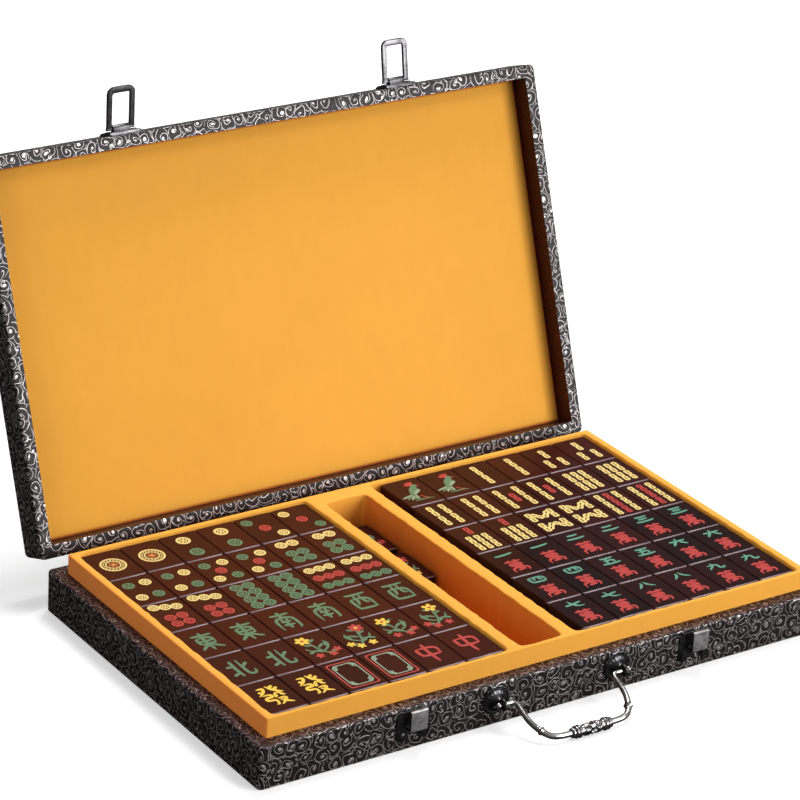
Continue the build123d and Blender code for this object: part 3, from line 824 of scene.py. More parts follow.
class CASE_OT_boards(Operator):
    """Give the boards their grain and the underside its cloth"""

    bl_idname = "case.boards"
    bl_label = "Boards"

    def execute(self, context):
        for half in ("base", "lid"):
            for side, grain_way in (("front", "X"), ("back", "X"), ("left", "Y"), ("right", "Y")):
                dress(f"{half}_wall_{side}", wood(grain_way))
        dress("base_bottom_board", wood("X"))
        dress("lid_top_board", wood("X"))
        dress("base_under_sheet", under_cloth())
        return {"FINISHED"}


# ------------------------------------------------------------------ tray and lining
def rounded_outline(low, high, radius, count=5, shrink=0.0):
    """A rectangle's outline with round corners, anticlockwise."""
    x0, y0, x1, y1 = low[0] + shrink, low[1] + shrink, high[0] - shrink, high[1] - shrink
    radius = max(radius - shrink, 0.05)
    left, right, near, far = x0 + radius, x1 - radius, y0 + radius, y1 - radius
    points = []
    for x, y, start in ((right, near, -90), (right, far, 0), (left, far, 90), (left, near, 180)):
        for step in range(count + 1):
            angle = radians(start + 90 * step / count)
            points.append((x + radius * cos(angle), y + radius * sin(angle)))
    return points


def ragged(outline, stray, chance):
    """The uneven edge of hand-cut cloth: points on the straight stretches stray a little to their right."""
    spacing, slide = 4.5, 0.3
    points = []
    for (x0, y0), (x1, y1) in zip(outline, outline[1:] + outline[:1]):
        points.append((x0, y0))
        length = hypot(x1 - x0, y1 - y0)
        count = int(length / spacing)
        for step in range(1, count):
            along = (step + chance.uniform(-slide, slide)) / count
            off = stray * chance.random() / length
            x, y = x0 + (x1 - x0) * along, y0 + (y1 - y0) * along
            points.append((x + (y1 - y0) * off, y - (x1 - x0) * off))
    return points


def board_with_wells(outlines, low, top, edge):
    """A flat board between two heights: the first outline less the others, with round edges."""
    curve = bpy.data.curves.new("tray", "CURVE")
    curve.dimensions = "2D"
    curve.fill_mode = "BOTH"
    for outline in outlines:
        spline = curve.splines.new("POLY")
        spline.points.add(len(outline) - 1)
        for point, (x, y) in zip(spline.points, outline):
            point.co = (x * MM, y * MM, 0.0, 1.0)
        spline.use_cyclic_u = True
    curve.extrude = (top - low) * MM / 2 - edge * MM
    curve.bevel_depth = edge * MM
    curve.bevel_resolution = 3
    curve.offset = -edge * MM
    mesh = plain_mesh(bpy.data.objects.new("tray", curve))
    mesh.transform(CASE @ Matrix.Translation((0, 0, (top + low) / 2 * MM)))
    return tidy_normals(mesh)


def plain_mesh(source):
    """The mesh that an object comes to with its modifiers and bevels. The object goes."""
    bpy.context.scene.collection.objects.link(source)
    bpy.context.view_layer.update()
    mesh = bpy.data.meshes.new_from_object(source.evaluated_get(bpy.context.evaluated_depsgraph_get()))
    bpy.data.objects.remove(source)
    return mesh


def covered_tray():
    """The tray's walls and dividers in one suede skin, with soft corners in the wells."""
    edge = bpy.context.scene.case_suede.edge / MM
    side = WIDTH / 2 - 2 * COVER - WALL - TRAY_GAP
    front, rear = 2 * COVER + WALL + TRAY_GAP, DEPTH - 2 * COVER - WALL - TRAY_GAP
    well_side, well_front, well_rear = side - WELL_SIDE, front + WELL_FRONT, rear - WELL_BACK
    stray, chance = 0.85, Random(11)
    outlines = [rounded_outline((-side, front), (side, rear), 1.6)]
    for low, high, corner in (
        ((-well_side, well_front), (LEFT_WELL_END, well_rear), 2.6),
        ((SLOT_X[0], well_front), (SLOT_X[1], SLOT_BACK), 3.0),
        ((RIGHT_WELL_START, well_front), (well_side, well_rear), 2.6),
    ):
        outlines.append(ragged(rounded_outline(low, high, corner), stray, chance))
    mesh = board_with_wells(outlines, COVER + FLAT_BOARD, TRAY_TOP, edge)
    smooth(mesh, 50.0)
    # The slot's side walls, which get a painted dark red shade, with room for their ragged line and not the
    # rounded edge over them
    around, lip = 1.5, 0.6
    low = Vector((SLOT_X[0] - around, FRONT_Y + well_front - around, 0)) * MM
    high = Vector((SLOT_X[1] + around, FRONT_Y + SLOT_BACK + around, TRAY_TOP - lip)) * MM
    # Left of here, what faces left is the tray's own left side, which gets a painted redder shade
    left_part = -150 * MM
    sides, slot_wall_shade = [], []
    for point in mesh.vertices:
        in_slot = all(start < value < end for start, value, end in zip(low, point.co, high))
        sides.append(max(0.0, -point.normal.x) if point.co.x < left_part else 0.0)
        slot_wall_shade.append(0.9 * point.normal.x**2 if in_slot else 0.0)
    mesh.attributes.new("side", "FLOAT", "POINT").data.foreach_set("value", sides)
    mesh.attributes.new("edge", "FLOAT", "POINT").data.foreach_set("value", slot_wall_shade)
    nodes = [f"tray_wall_{wall}" for wall in ("front", "back", "left", "right")]
    nodes += ["tray_divider_left", "tray_divider_right", "tray_slot_block"]
    show("tray_skin", mesh, "base", suede(), nodes)


class CASE_OT_tray(Operator):
    """Line the tray with suede"""

    bl_idname = "case.tray"
    bl_label = "Tray"

    def execute(self, context):
        covered_tray()
        dress("tray_floor", suede())
        return {"FINISHED"}


class CASE_OT_lining(Operator):
    """Lay the suede lining in the lid"""

    bl_idname = "case.lining"
    bl_label = "Lid lining"

    def execute(self, context):
        band, rise = 2.2, 0.25
        mesh = merged_copy("lid_lining", "lid_lining_skin")
        with editing(mesh) as shape:
            # Painted shade: dark red over the lining's sides and edges, fading out across a band round its
            # face
            edge = shape.verts.layers.float.new("edge")
            facing_out = (face for face in shape.faces if face.normal.dot(LID.to_3x3().col[2]) > 0.9)
            top = max(facing_out, key=lambda face: face.calc_area())
            for corner in shape.verts:
                corner[edge] = 1.0
            bmesh.ops.inset_region(shape, faces=[top], thickness=band * MM, depth=rise * MM)
            for corner in top.verts:
                corner[edge] = 0.0
        smooth(mesh, 35.0)
        show("lid_lining_skin", mesh, "lid", suede(), ("lid_lining",))
        return {"FINISHED"}


# ------------------------------------------------------------------ tiles
def tile_mesh(low, height, looks):
    """One tile: a block with round corners and eased face edges."""
    corner, edge = looks.corner / MM, looks.edge / MM
    under = 0.5
    # Heights up the tile, and how far its outline is drawn in at each
    rings = [
        (0.0, under), (under, 0.0), (height - edge, 0.0), (height - edge * 0.9, edge * 0.06),
        (height - edge * 0.06, edge * 0.9), (height, edge),
    ]
    across, back = low.x + TILE_WIDTH, low.y + TILE_LENGTH
    outlines = []
    for level, shrink in rings:
        outline = rounded_outline((low.x, low.y), (across, back), corner, 4, shrink)
        outlines.append([(x, y, low.z + level) for x, y in outline])
    mesh = mesh_of("tile", *tube(outlines))
    # The eased edges that face the front or the back get a clear coat and a painted highlight
    around = len(outlines[0])
    eased = range(2 * around, 5 * around)
    rim = mesh.attributes.new("rim", "FLOAT", "FACE")
    rim.data.foreach_set("value", [1.5 * f.normal.y**2 if f.index in eased else 0.0 for f in mesh.polygons])
    smooth(mesh, 26.0)
    return mesh


@cache
def block_tree():
    """Lay one tile out in columns and rows, each with its own lot number."""
    tree = bpy.data.node_groups.new("Tile block", "GeometryNodeTree")
    for label, kind in (
        ("Geometry", "Geometry"), ("Columns", "Int"), ("Rows", "Int"), ("Across", "Float"), ("Back", "Float"),
        ("Seed", "Int"), ("Material", "Material"),
    ):
        tree.interface.new_socket(name=label, in_out="INPUT", socket_type=f"NodeSocket{kind}")
    tree.interface.new_socket(name="Geometry", in_out="OUTPUT", socket_type="NodeSocketGeometry")
    given, result = tree.nodes.new("NodeGroupInput").outputs, tree.nodes.new("NodeGroupOutput")

    def grow(kind, inputs, **settings):
        return add(tree, f"GeometryNode{kind}", inputs, **settings).outputs[0]

    step_x = add(tree, "ShaderNodeCombineXYZ", {0: given["Across"]}).outputs[0]
    step_y = add(tree, "ShaderNodeCombineXYZ", {1: given["Back"]}).outputs[0]
    row = grow("MeshLine", {"Count": given["Columns"], "Offset": step_x})
    rows = grow("MeshLine", {"Count": given["Rows"], "Offset": step_y})
    spots = grow("RealizeInstances", {0: grow("InstanceOnPoints", {"Points": rows, "Instance": row})})
    tiles = grow("InstanceOnPoints", {"Points": spots, "Instance": given["Geometry"]})
    lot = add(tree, "FunctionNodeRandomValue", {"Seed": given["Seed"]}, data_type="FLOAT").outputs["Value"]
    named = {"Geometry": tiles, "Name": "lot", "Value": lot}
    named = grow("StoreNamedAttribute", named, data_type="FLOAT", domain="INSTANCE")
    whole = grow("RealizeInstances", {0: named})
    painted = grow("SetMaterial", {"Geometry": whole, "Material": given["Material"]})
    tree.links.new(painted, result.inputs[0])
    return tree


def grown(name, mesh, tree, values):
    """Run a Geometry Nodes tree on a mesh and give its result as a plain mesh."""
    seedling = bpy.data.objects.new(name, mesh)
    modifier = seedling.modifiers.new("Nodes", "NODES")
    modifier.node_group = tree
    for socket in tree.interface.items_tree:
        if socket.name in values:
            modifier[socket.identifier] = values[socket.name]
    result = plain_mesh(seedling)
    result.name = name
    return result


def tile_grid(node, columns, rows):
    """Where a body's tiles stand, in millimetres: their lowest and highest corners and their two pitches."""
    low, high = (Vector(corner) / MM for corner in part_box(node))
    across = (high.x - low.x - TILE_WIDTH) / max(columns - 1, 1)
    back = (high.y - low.y - TILE_LENGTH) / max(rows - 1, 1)
    return low, high, across, back


def tile_block(node, body, columns, rows, seed, tone):
    """The tiles of one body, in the places of its solid, with random tones that go a little over the painted
    reflection tone given.
    """
    most_over = 0.22
    low, high, across, back = tile_grid(node, columns, rows)
    one = tile_mesh(low, high.z - low.z, bpy.context.scene.case_tiles)
    values = {"Columns": columns, "Rows": rows, "Across": across * MM, "Back": back * MM}
    values |= {"Seed": seed, "Material": melamine()}
    name = f"{node}_polished"
    mesh = grown(name, one, block_tree(), values)
    for number in mesh.attributes["lot"].data:
        number.value = tone + most_over * number.value
    show(name, mesh, body, melamine(), (node,))


class CASE_OT_tiles(Operator):
    """Fill the tray with its tiles"""

    bl_idname = "case.tiles"
    bl_label = "Tiles"

    def execute(self, context):
        # Each row's tone, from the front, a painted reflection: the lower, the darker and bluer; the left
        # block's are higher and redder, from the orange lid
        tones = {"left": (0.42, 0.48, 0.5, 0.52, 0.5, 0.5), "right": (0.04, 0.06, 0.10, 0.22, 0.34, 0.40)}
        for side, (block, row_reflection_tones) in enumerate(tones.items()):
            for row, tone in enumerate(row_reflection_tones, 1):
                node = f"tiles_{block}_upper_row_{row}"
                tile_block(node, node, 6, 1, 10 * side + row, tone)
            tile_block(f"tiles_{block}_lower", f"tile_block_{block}", 6, 6, 40 + side, row_reflection_tones[1])
        tile_block("spare_tiles", "spare_tiles", 1, 2, 50, 0.4)
        return {"FINISHED"}


# ------------------------------------------------------------------ marks on the tiles
PAINTS = ("red", "green", "cream", "gold", "teal", "brown", "sage")

# A mark's slabs reach down into the tile and stand a hair over it, each a little over the one before
MARK_DEPTH, MARK_LIFT, LAYER_LIFT = 0.1, 0.04, 0.002

# Brush strokes of each sign on a square of ten by ten, from its lower left corner
STROKES = {
    "one": "0,4.6 10,5.8",
    "two": "2,7.5 8,7.8/0,2.4 10,2.8",
    "three": "1.5,8.6 8.5,8.9/2.4,5.3 7.6,5.5/0,1.6 10,2",
    "four": "1,8.5 1.4,1.6/1,8.5 9,8.5 8.6,1.6/1.4,2 8.6,2/3.8,8.3 3.3,4.6/6.2,8.3 6.2,5 7.8,4.8",
    "five": "1.5,9 8.5,9/4.6,9 3.2,1.2/2,5.4 7.6,5.4 7.2,1.2/0,1 10,1",
    "six": "4.6,10 5.4,8.5/0.5,7 9.5,7/4,5.4 1.2,1/6,5.4 9,1",
    "seven": "0.5,4.4 9.5,6.8/3.6,9.8 4.5,4.4 6.2,1.6 9.6,0.9",
    "eight": "4,8.6 3.2,4.5 0.8,1.2/5.6,9 6.6,4.5 9.6,1.2",
    "nine": "4.4,9.6 4,5 0.8,1/1.2,6.6 6.8,6.8 6.6,2 7.6,1 9.4,1.2 9.4,3",
    "wan": "1,8.9 9,8.9/3.4,10 3.4,7.9/6.6,10 6.6,7.9/2.3,7.2 2.5,4.6/2.3,7.2 7.7,7.2 7.5,4.6/2.4,6 7.6,6/"
    "2.5,4.7 7.5,4.7/5,7.2 5,1.8/1.1,0 1.2,3.4 8.8,3.4 8.7,0.8 7.8,0.2/3,1.3 6.6,1.9/5.9,2.8 6.9,1.1",
    "east": "1,8.5 9,8.5/5,10 5,0/2.2,7 2.2,3.6/2.2,7 7.8,7 7.8,3.6/2.2,5.3 7.8,5.3/2.2,3.7 7.8,3.7/"
    "4.6,3.2 0.8,0.8/5.4,3.2 9.2,0.8",
    "south": "1.3,8.6 8.7,8.6/5,10 5,6.9/1.4,0.2 1.4,6.8 8.6,6.8 8.6,0.6 7.6,0.3/3.7,6 4.3,5/6.3,6 5.7,5/"
    "3,4.5 7,4.5/2.8,2.7 7.2,2.7/5,4.5 5,0.7",
    "west": "0.8,9.2 9.2,9.2/1.5,6.6 1.7,0.6/1.5,6.6 8.5,6.6 8.3,0.6/1.6,1.1 8.4,1.1/3.9,9.2 3.7,5 2.7,3.2/"
    "6,9.2 6,4 7.6,3.8",
    "north": "3.8,9.2 3.8,0.4/0.8,6.4 3.8,6.4/0.6,1.6 3.8,3/6.2,9.2 6.2,2 6.9,1 9,1 9.4,3/9,7 6.2,5",
    "middle": "1.2,7.8 1.5,3.8/1.2,7.8 8.8,7.8 8.5,3.8/1.4,4.1 8.6,4.1/5,10 5,0",
    "luck": "1.6,9.3 4.2,9.3 3,7.2 0.6,5.8/1.4,7.9 2.4,7.1/5.4,10 6.8,7.4 9.6,5.8/6.3,8.9 7.9,9.8/"
    "7.2,7.6 8.9,8.7/1.5,5.7 4.4,5.7 4.4,4.3 1.7,4.3 1.4,2.8 4.6,2.8 4.1,0.4 3.1,0.5/6,5.9 5.8,4.5 5.1,3.8/"
    "6,5.9 8.1,5.9 8.1,4.5 9.3,4.3/5.4,3.1 8.5,3.1 7.2,1.4 4.9,0/5.9,2.5 7.4,1.1 9.6,0",
}


def written(line):
    """The points of a line written as pairs of numbers."""
    return [tuple(float(number) for number in pair.split(",")) for pair in line.split()]


def circle(x, y, radius, count):
    """Points round a centre, anticlockwise."""
    return [(x + radius * cos(angle), y + radius * sin(angle)) for angle in angles_round(count)]


class Marks:
    """Marks on tile faces: thin closed slabs of paint, let a little into the tile."""

    def __init__(self):
        self.points, self.faces, self.paints = [], [], []
        self.place = (0.0, 0.0, 0.0)
        self.layer = 0

    def on(self, place):
        """Go to a tile, given by the middle of its face in millimetres."""
        self.place, self.layer = place, 0

    def raised(self, outline, lift):
        """Add an outline's points at a height over the tile's face, and give the first one's number."""
        x, y, z = self.place
        start = len(self.points)
        self.points += [(x + u, y + v, z + lift) for u, v in outline]
        return start

    def lift(self):
        """The next slab's height, a hair over the one before, so that none share a face."""
        self.layer += 1
        return MARK_LIFT + LAYER_LIFT * self.layer

    def take(self, faces, paint):
        """Keep faces in a paint."""
        self.faces += faces
        self.paints += [PAINTS.index(paint)] * len(faces)

    def slab(self, outline, paint):
        """A closed slab of an anticlockwise outline."""
        top = self.raised(outline, self.lift())
        low = self.raised(outline, -MARK_DEPTH)
        count = len(outline)
        faces = [tuple(range(top, top + count)), tuple(range(low + count - 1, low - 1, -1))]
        faces += [(low + i, low + (i + 1) % count, top + (i + 1) % count, top + i) for i in range(count)]
        self.take(faces, paint)

    def strip(self, left, right, paint, closed=False):
        """A closed slab between two lines of points, the left line on the left hand."""
        lift = self.lift()
        rows = ((left, lift), (right, lift), (right, -MARK_DEPTH), (left, -MARK_DEPTH))
        starts = [self.raised(line, height) for line, height in rows]
        count = len(left)
        faces = []
        for i in range(count if closed else count - 1):
            j = (i + 1) % count
            for a, b in zip(starts, starts[1:] + starts[:1]):
                faces.append((a + i, b + i, b + j, a + j))
        if not closed:
            faces.append(tuple(reversed(starts)))
            faces.append(tuple(start + count - 1 for start in starts))
        self.take(faces, paint)

    def disc(self, x, y, radius, paint, count):
        """A round dot."""
        self.slab(circle(x, y, radius, count), paint)

    def ring(self, x, y, outer, inner, paint, count):
        """A flat ring."""
        self.strip(circle(x, y, inner, count), circle(x, y, outer, count), paint, closed=True)

    def stroke(self, line, width, paint, taper=0.42):
        """A brush stroke along a line of points, fullest near its start, its ends a part of its width."""
        line = softened(line)
        left, right = [], []
        last = len(line) - 1
        for i, (x, y) in enumerate(line):
            before, after = line[max(i - 1, 0)], line[min(i + 1, last)]
            first = Vector((x - before[0], y - before[1])) if i else Vector((after[0] - x, after[1] - y))
            second = Vector((after[0] - x, after[1] - y)) if i < last else first
            first.normalize()
            second.normalize()
            across = Vector((-(first.y + second.y), first.x + second.x))
            across.normalize()
            bend = max(across.dot(Vector((-first.y, first.x))), 0.6)
            full = sin(pi * (i / last) ** 0.75) ** 0.5
            half = width / 2 / bend * (taper + (1.18 - taper) * full)
            left.append((x + across.x * half, y + across.y * half))
            right.append((x - across.x * half, y - across.y * half))
        self.strip(left, right, paint)

    def petal(self, x, y, length, width, turn, paint, count=10):
        """A leaf or petal that starts at a point and widens away from it."""
        outline = []
        for angle in angles_round(count):
            part = (1 - cos(angle)) / 2
            along, side = length * part, width / 2 * sin(angle) * part**0.25
            across, up = along * cos(turn) + side * sin(turn), along * sin(turn) - side * cos(turn)
            outline.append((x + across, y + up))
        self.slab(outline, paint)

    def sign(self, name, x, y, width, height, paint, weight):
        """A sign written with its strokes, in a box round a point."""
        for part in STROKES[name].split("/"):
            placed = [(x + (u - 5) / 10 * width, y + (v - 5) / 10 * height) for u, v in written(part)]
            self.stroke(placed, weight, paint)


def softened(line):
    """A line of points with its corners a little rounded, as a brush leaves them."""
    steps, pull, bow = 3, 0.42, 0.035
    if len(line) == 2:
        (x0, y0), (x1, y1) = line
        points = []
        for t in (0, 0.08, 0.25, 0.5, 0.75, 0.92, 1):
            off = bow * sin(pi * t)
            points.append((x0 + (x1 - x0) * t + (y1 - y0) * off, y0 + (y1 - y0) * t - (x1 - x0) * off))
        return points
    points = [line[0]]
    for before, corner, after in zip(line, line[1:], line[2:]):
        start = [c + (b - c) * pull for b, c in zip(before, corner)]
        end = [c + (a - c) * pull for a, c in zip(after, corner)]
        for step in range(steps + 1):
            t = step / steps
            shares = ((1 - t) ** 2, 2 * t * (1 - t), t * t)
            points.append(tuple(sum(map(mul, shares, three)) for three in zip(start, corner, end)))
    points.append(line[-1])
    return points


def coin(marks, x, y, radius, paint):
    """A small coin: a rim and a flower within it."""
    marks.ring(x, y, radius, radius * 0.66, paint, 18)
    marks.disc(x, y, radius * 0.22, paint, 8)
    for petal_x, petal_y in circle(x, y, radius * 0.43, 6):
        marks.disc(petal_x, petal_y, radius * 0.19, paint, 6)


def great_coin(marks):
    """The single large coin: rims, a ring of beads and a flower."""
    marks.ring(0, 0, 8.8, 7.4, "cream", 32)
    for x, y in circle(0, 0, 6.3, 18):
        marks.disc(x, y, 0.72, "cream", 7)
    marks.ring(0, 0, 5.2, 4.3, "cream", 24)
    for turn in angles_round(6):
        marks.petal(0, 0, 3.7, 2.6, turn, "brown")
    marks.disc(0, 0, 0.8, "gold", 8)


def each(across, up, value):
    """Every place in some columns and rows, each with the same value."""
    return [(x, y, value) for x in across for y in up]


# Each coin tile's radius and its coins' places and paints: 0 is the odd one beside the threes
COINS = {
    0: (3.9, [(-7.4, 11, "cream"), (0, 0, "red"), (7.4, -11, "green")]),
    2: (5.0, [(0, 8.8, "cream"), (0, -8.8, "green")]),
    3: (4.1, [(-7.4, 11, "green"), (0, 0, "red"), (7.4, -11, "cream")]),
    4: (4.1, [(-6, 8.6, "green"), (6, 8.6, "cream"), (-6, -8.6, "cream"), (6, -8.6, "green")]),
    5: (4.0, [
        (-6.6, 9.6, "green"), (6.6, 9.6, "cream"), (0, 0, "red"), (-6.6, -9.6, "cream"), (6.6, -9.6, "green"),
    ]),
    6: (4.2, each((-4.2, 4.2), (12.0,), "cream") + each((-4.2, 4.2), (-1, -10), "green")),
    7: (3.9, [
        (-7, 14, "cream"), (0, 11.9, "cream"), (7, 9.8, "cream"), *each((-4.2, 4.2), (-2, -10.6), "red"),
    ]),
    8: (4.3, each((-4.4, 4.4), (12.9, 4.3, -4.3, -12.9), "green")),
    9: (3.8, [
        *each((-7.6, 0, 7.6), (11.4,), "cream"), *each((-7.6, 0, 7.6), (0,), "red"),
        *each((-7.6, 0, 7.6), (-11.4,), "green"),
    ]),
}


def coins(marks, rank):
    """A coin tile."""
    if rank == 1:
        return great_coin(marks)
    radius, places = COINS[rank]
    for x, y, colour in places:
        coin(marks, x, y, radius, colour)


def stick(marks, x, y, length, paint, lean=0.0, width=4.4):
    """A bamboo stick: two rounded joints, each with a slit."""
    # Half of the stick, from its end to its middle: parts of its length and of its half width
    shape = [(0.0, 0.42), (0.05, 0.82), (0.14, 1.0), (0.25, 0.84), (0.36, 1.0), (0.45, 0.82), (0.5, 0.42)]
    edge = shape + [(1 - t, w) for t, w in reversed(shape[:-1])]
    slit = [(t, 0.20 if 0.08 < t % 0.5 < 0.42 else 0.02) for t, _ in edge]
    along, across = Vector((sin(lean), cos(lean))), Vector((cos(lean), -sin(lean)))
    start = Vector((x, y)) - along * length / 2

    def line(parts, side):
        return [tuple(start + along * t * length + across * w * side * width / 2) for t, w in parts]

    marks.strip(line(slit, 1), line(edge, 1), paint)
    marks.strip(line(edge, -1), line(slit, -1), paint)


# Each bamboo tile's sticks, as the places of their middles and their lengths
PALE_STICKS = {
    2: each((0,), (7.0, -7.0), 13.4),
    3: [(0, 7.4, 12.4), (-5.6, -7.4, 12.4), (5.6, -7.4, 12.4)],
    4: each((-4.9, 4.9), (7.4, -7.4), 14),
    5: each((-7.6, 7.6), (7.4, -7.4), 14),
    6: each((-6.2, 0, 6.2), (7.2, -7.2), 13.6),
    7: each((-6.2, 0, 6.2), (-0.6, -11.2), 10.0),
    9: each((-7.2, 7.2), (10.6, 0, -10.6), 9.8),
}
RED_STICKS = {5: [(0, 0, 12.6)], 7: [(0, 11.6, 9.8)], 9: each((0,), (10.6, 0, -10.6), 9.8)}
# The eight's right half, with each stick's lean in radians
LEANING_STICKS = ((8.6, 7.8, 12.6, 0), (8.6, -7.8, 12.6, 0), (3.5, 8.0, 9.6, 0.68), (3.5, -8.0, 9.6, -0.68))


def bamboos(marks, rank):
    """A bamboo tile."""
    for paint, sticks in (("cream", PALE_STICKS), ("red", RED_STICKS)):
        for x, y, length in sticks.get(rank, ()):
            stick(marks, x, y, length, paint)
    if rank == 8:
        for side in (-1, 1):
            for x, y, length, lean in LEANING_STICKS:
                stick(marks, x * side, y, length, "cream", lean * side, 4.8)


def numbered(marks, rank):
    """A tile of the ten thousands: its number over their sign."""
    names = ("one", "two", "three", "four", "five", "six", "seven", "eight", "nine")
    marks.sign(names[rank - 1], 0, 10.4, 14.0, 9.0, "teal", 1.7)
    marks.sign("wan", 0, -5.8, 15.0, 16.0, "red", 1.7)


def flower(marks, kind):
    """A spray of flowers: curling stems and leaves, an open blossom above and a cluster of buds below."""
    flip = -1 if kind % 2 else 1
    petals = 6 if kind < 2 else 5
    bloom, buds = ("red", "gold") if kind == 1 else ("gold", "red")
    x, y = ((-5.5, 10.5), (5.0, 10.0), (-4.5, 9.0), (4.0, 11.0))[kind]
    stems = ("6,-12 1,-8 -2,-1 -3,6 -5,10", "0,-6 5,-3 8,2 6,6", "-1,-3 -7,-4 -9,1")
    # The leaves' places, their turns in degrees and their lengths
    leaves = (
        (-1, -1, 35, 7), (-2, 3, 160, 6), (1, -7, 150, 6.5), (3, -9, 20, 6.5),
        (5, -2, 80, 6), (-5, -4, 200, 5), (-3, 7, 30, 6),
    )
    for stem in stems:
        marks.stroke([(u * flip, v) for u, v in written(stem)], 1.3, "green", 0.6)
    for u, v, turn, length in leaves:
        marks.petal(u * flip, v, length, 2.6, radians(turn if flip > 0 else 180 - turn), "green")
    for turn in angles_round(petals):
        marks.petal(x, y, 5.0, 3.4, turn + 0.4 * kind, bloom, 12)
    marks.disc(x, y, 1.2, buds, 9)
    for u, v in ((4, -11), (9, -7), (-5, -10)):
        for turn in angles_round(5):
            marks.petal(u * flip, v, 3.1, 2.1, turn + 0.5, buds)


def bird(marks):
    """A perching bird: a long fanned tail, a round body, a folded wing, a head with a crest, and a branch."""
    for step in range(5):
        marks.petal(-0.5, -3, 12.0 - step, 2.2, radians(196 + 17 * step), "green" if step % 2 else "sage")
    marks.petal(-3, -6, 15.0, 7.6, radians(58), "green", 14)
    marks.petal(-1, -3.6, 9.0, 3.4, radians(35), "sage", 12)
    marks.disc(5.2, 7.6, 2.5, "green", 12)
    for step in range(5):
        marks.petal(4.6, 8.6, 5.6, 1.8, radians(64 + 24 * step), "red")
    marks.petal(7.0, 7.6, 2.6, 1.2, -0.3, "red")
    marks.stroke([(2.0, -6), (3.4, -10.5), (6.5, -11.4)], 0.9, "red")
    marks.stroke([(-6, -12.5), (1, -11.8), (9, -12.8)], 1.1, "green")


def notched(x, y, notch):
    """A rectangle's outline with its corners cut off, anticlockwise, from its half sizes."""
    return [
        (-x, -y + notch), (-x + notch, -y), (x - notch, -y), (x, -y + notch),
        (x, y - notch), (x - notch, y), (-x + notch, y), (-x, y - notch),
    ]


def open_frame(marks):
    """The blank tile's frame: a red border round a notched pale one, with curls in its corners."""
    for x, y, width, colour, notch in ((10.6, 15.6, 1.0, "red", 1.4), (8.3, 13.1, 0.9, "sage", 2.4)):
        outer = notched(x, y, notch)
        inner = [(u - width * (1 if u > 0 else -1), v - width * (1 if v > 0 else -1)) for u, v in outer]
        marks.strip(inner, outer, colour, closed=True)
    curl = [(7.6, 7.4), (6.2, 8.2), (6.4, 10.2), (4.8, 11.0), (4.0, 12.4)]
    for side in (-1, 1):
        for end in (-1, 1):
            marks.stroke([(x * side, y * end) for x, y in curl], 1.0, "sage")
            marks.disc(5.6 * side, 9.0 * end, 0.8, "sage", 8)


# What draws the other kinds of tile
DRAWN = {
    "coin": coins, "bamboo": bamboos, "wan": numbered, "flower": flower, "bird": bird, "frame": open_frame,
}
# The paint of each tile that bears one large sign
SIGNS = {
    "east": "green", "south": "green", "west": "green", "north": "green", "middle": "red", "luck": "gold",
}


def mark_face(marks, face):
    """Draw one tile's mark, given by its kind and its rank where it has one, such as coin7 or east."""
    kind = face.rstrip("0123456789")
    rank = [int(face[len(kind):])] if face != kind else []
    if kind in SIGNS:
        marks.sign(kind, 0, 0, 18.0, 23.0, SIGNS[kind], 2.0)
    else:
        DRAWN[kind](marks, *rank)


# The tiles of each block's upper layer, row by row from the front
FACES = {
    "left": (
        "luck luck frame frame middle middle", "north north flower0 flower1 flower2 flower3",
        "east east south south west west", "coin7 coin7 coin8 coin8 coin9 coin9",
        "coin4 coin4 coin5 coin5 coin6 coin6", "coin1 coin1 coin2 coin2 coin3 coin0",
    ),
    "right": (
        "wan7 wan7 wan8 wan8 wan9 wan9", "wan4 wan4 wan5 wan5 wan6 wan6", "wan1 wan1 wan2 wan2 wan3 wan3",
        "bamboo7 bamboo7 bamboo8 bamboo8 bamboo9 bamboo9", "bamboo4 bamboo4 bamboo5 bamboo5 bamboo6 bamboo6",
        "bird bird bamboo2 bamboo2 bamboo3 bamboo3",
    ),
}


def marked(node, body, faces, rows):
    """The marks on the tiles of one body."""
    columns = len(faces) // rows
    low, high, across, back = tile_grid(node, columns, rows)
    marks = Marks()
    for index, face in enumerate(faces):
        x = low.x + TILE_WIDTH / 2 + (index % columns) * across
        y = low.y + TILE_LENGTH / 2 + (index // columns) * back
        marks.on((x, y, high.z))
        mark_face(marks, face)
    name = f"{node}_marks"
    mesh = mesh_of(name, marks.points, marks.faces)
    show(name, mesh, body, None)
    for colour in PAINTS:
        mesh.materials.append(paint(colour))
    mesh.polygons.foreach_set("material_index", marks.paints)


class CASE_OT_marks(Operator):
    """Paint the marks on the tiles"""

    bl_idname = "case.marks"
    bl_label = "Tile marks"

    def execute(self, context):
        for block, rows in FACES.items():
            for number, row in enumerate(rows, 1):
                node = f"tiles_{block}_upper_row_{number}"
                marked(node, node, row.split(), 1)
            marked(f"tiles_{block}_lower", f"tile_block_{block}", " ".join(rows).split(), 6)
        marked("spare_tiles", "spare_tiles", ["flower1", "flower2"], 2)
        return {"FINISHED"}


# ------------------------------------------------------------------ fittings
class CASE_OT_latches(Operator):
    """Finish the latches on the lid and the catches on the base"""

    bl_idname = "case.latches"
    bl_label = "Latches"

    def execute(self, context):
        dark, pale = gunmetal("dark"), gunmetal("pale")
        for side in ("left", "right"):
            refined(f"latch_plate_{side}", "lid", dark, 0.12)
            refined(f"latch_loop_{side}", f"latch_loop_{side}", pale, 0.16)
            catch = refined(f"catch_{side}", "base", dark, 0.12).data
            catch.materials.append(pewter("satin"))
            for face in catch.polygons:
                face.material_index = int(face.center.y < (FRONT_Y - HOOK_FACE) * MM)
        refined("latch_plate_rivets", "lid", dark, 0.1)
        refined("catch_rivets", "base", dark, 0.1)
        return {"FINISHED"}


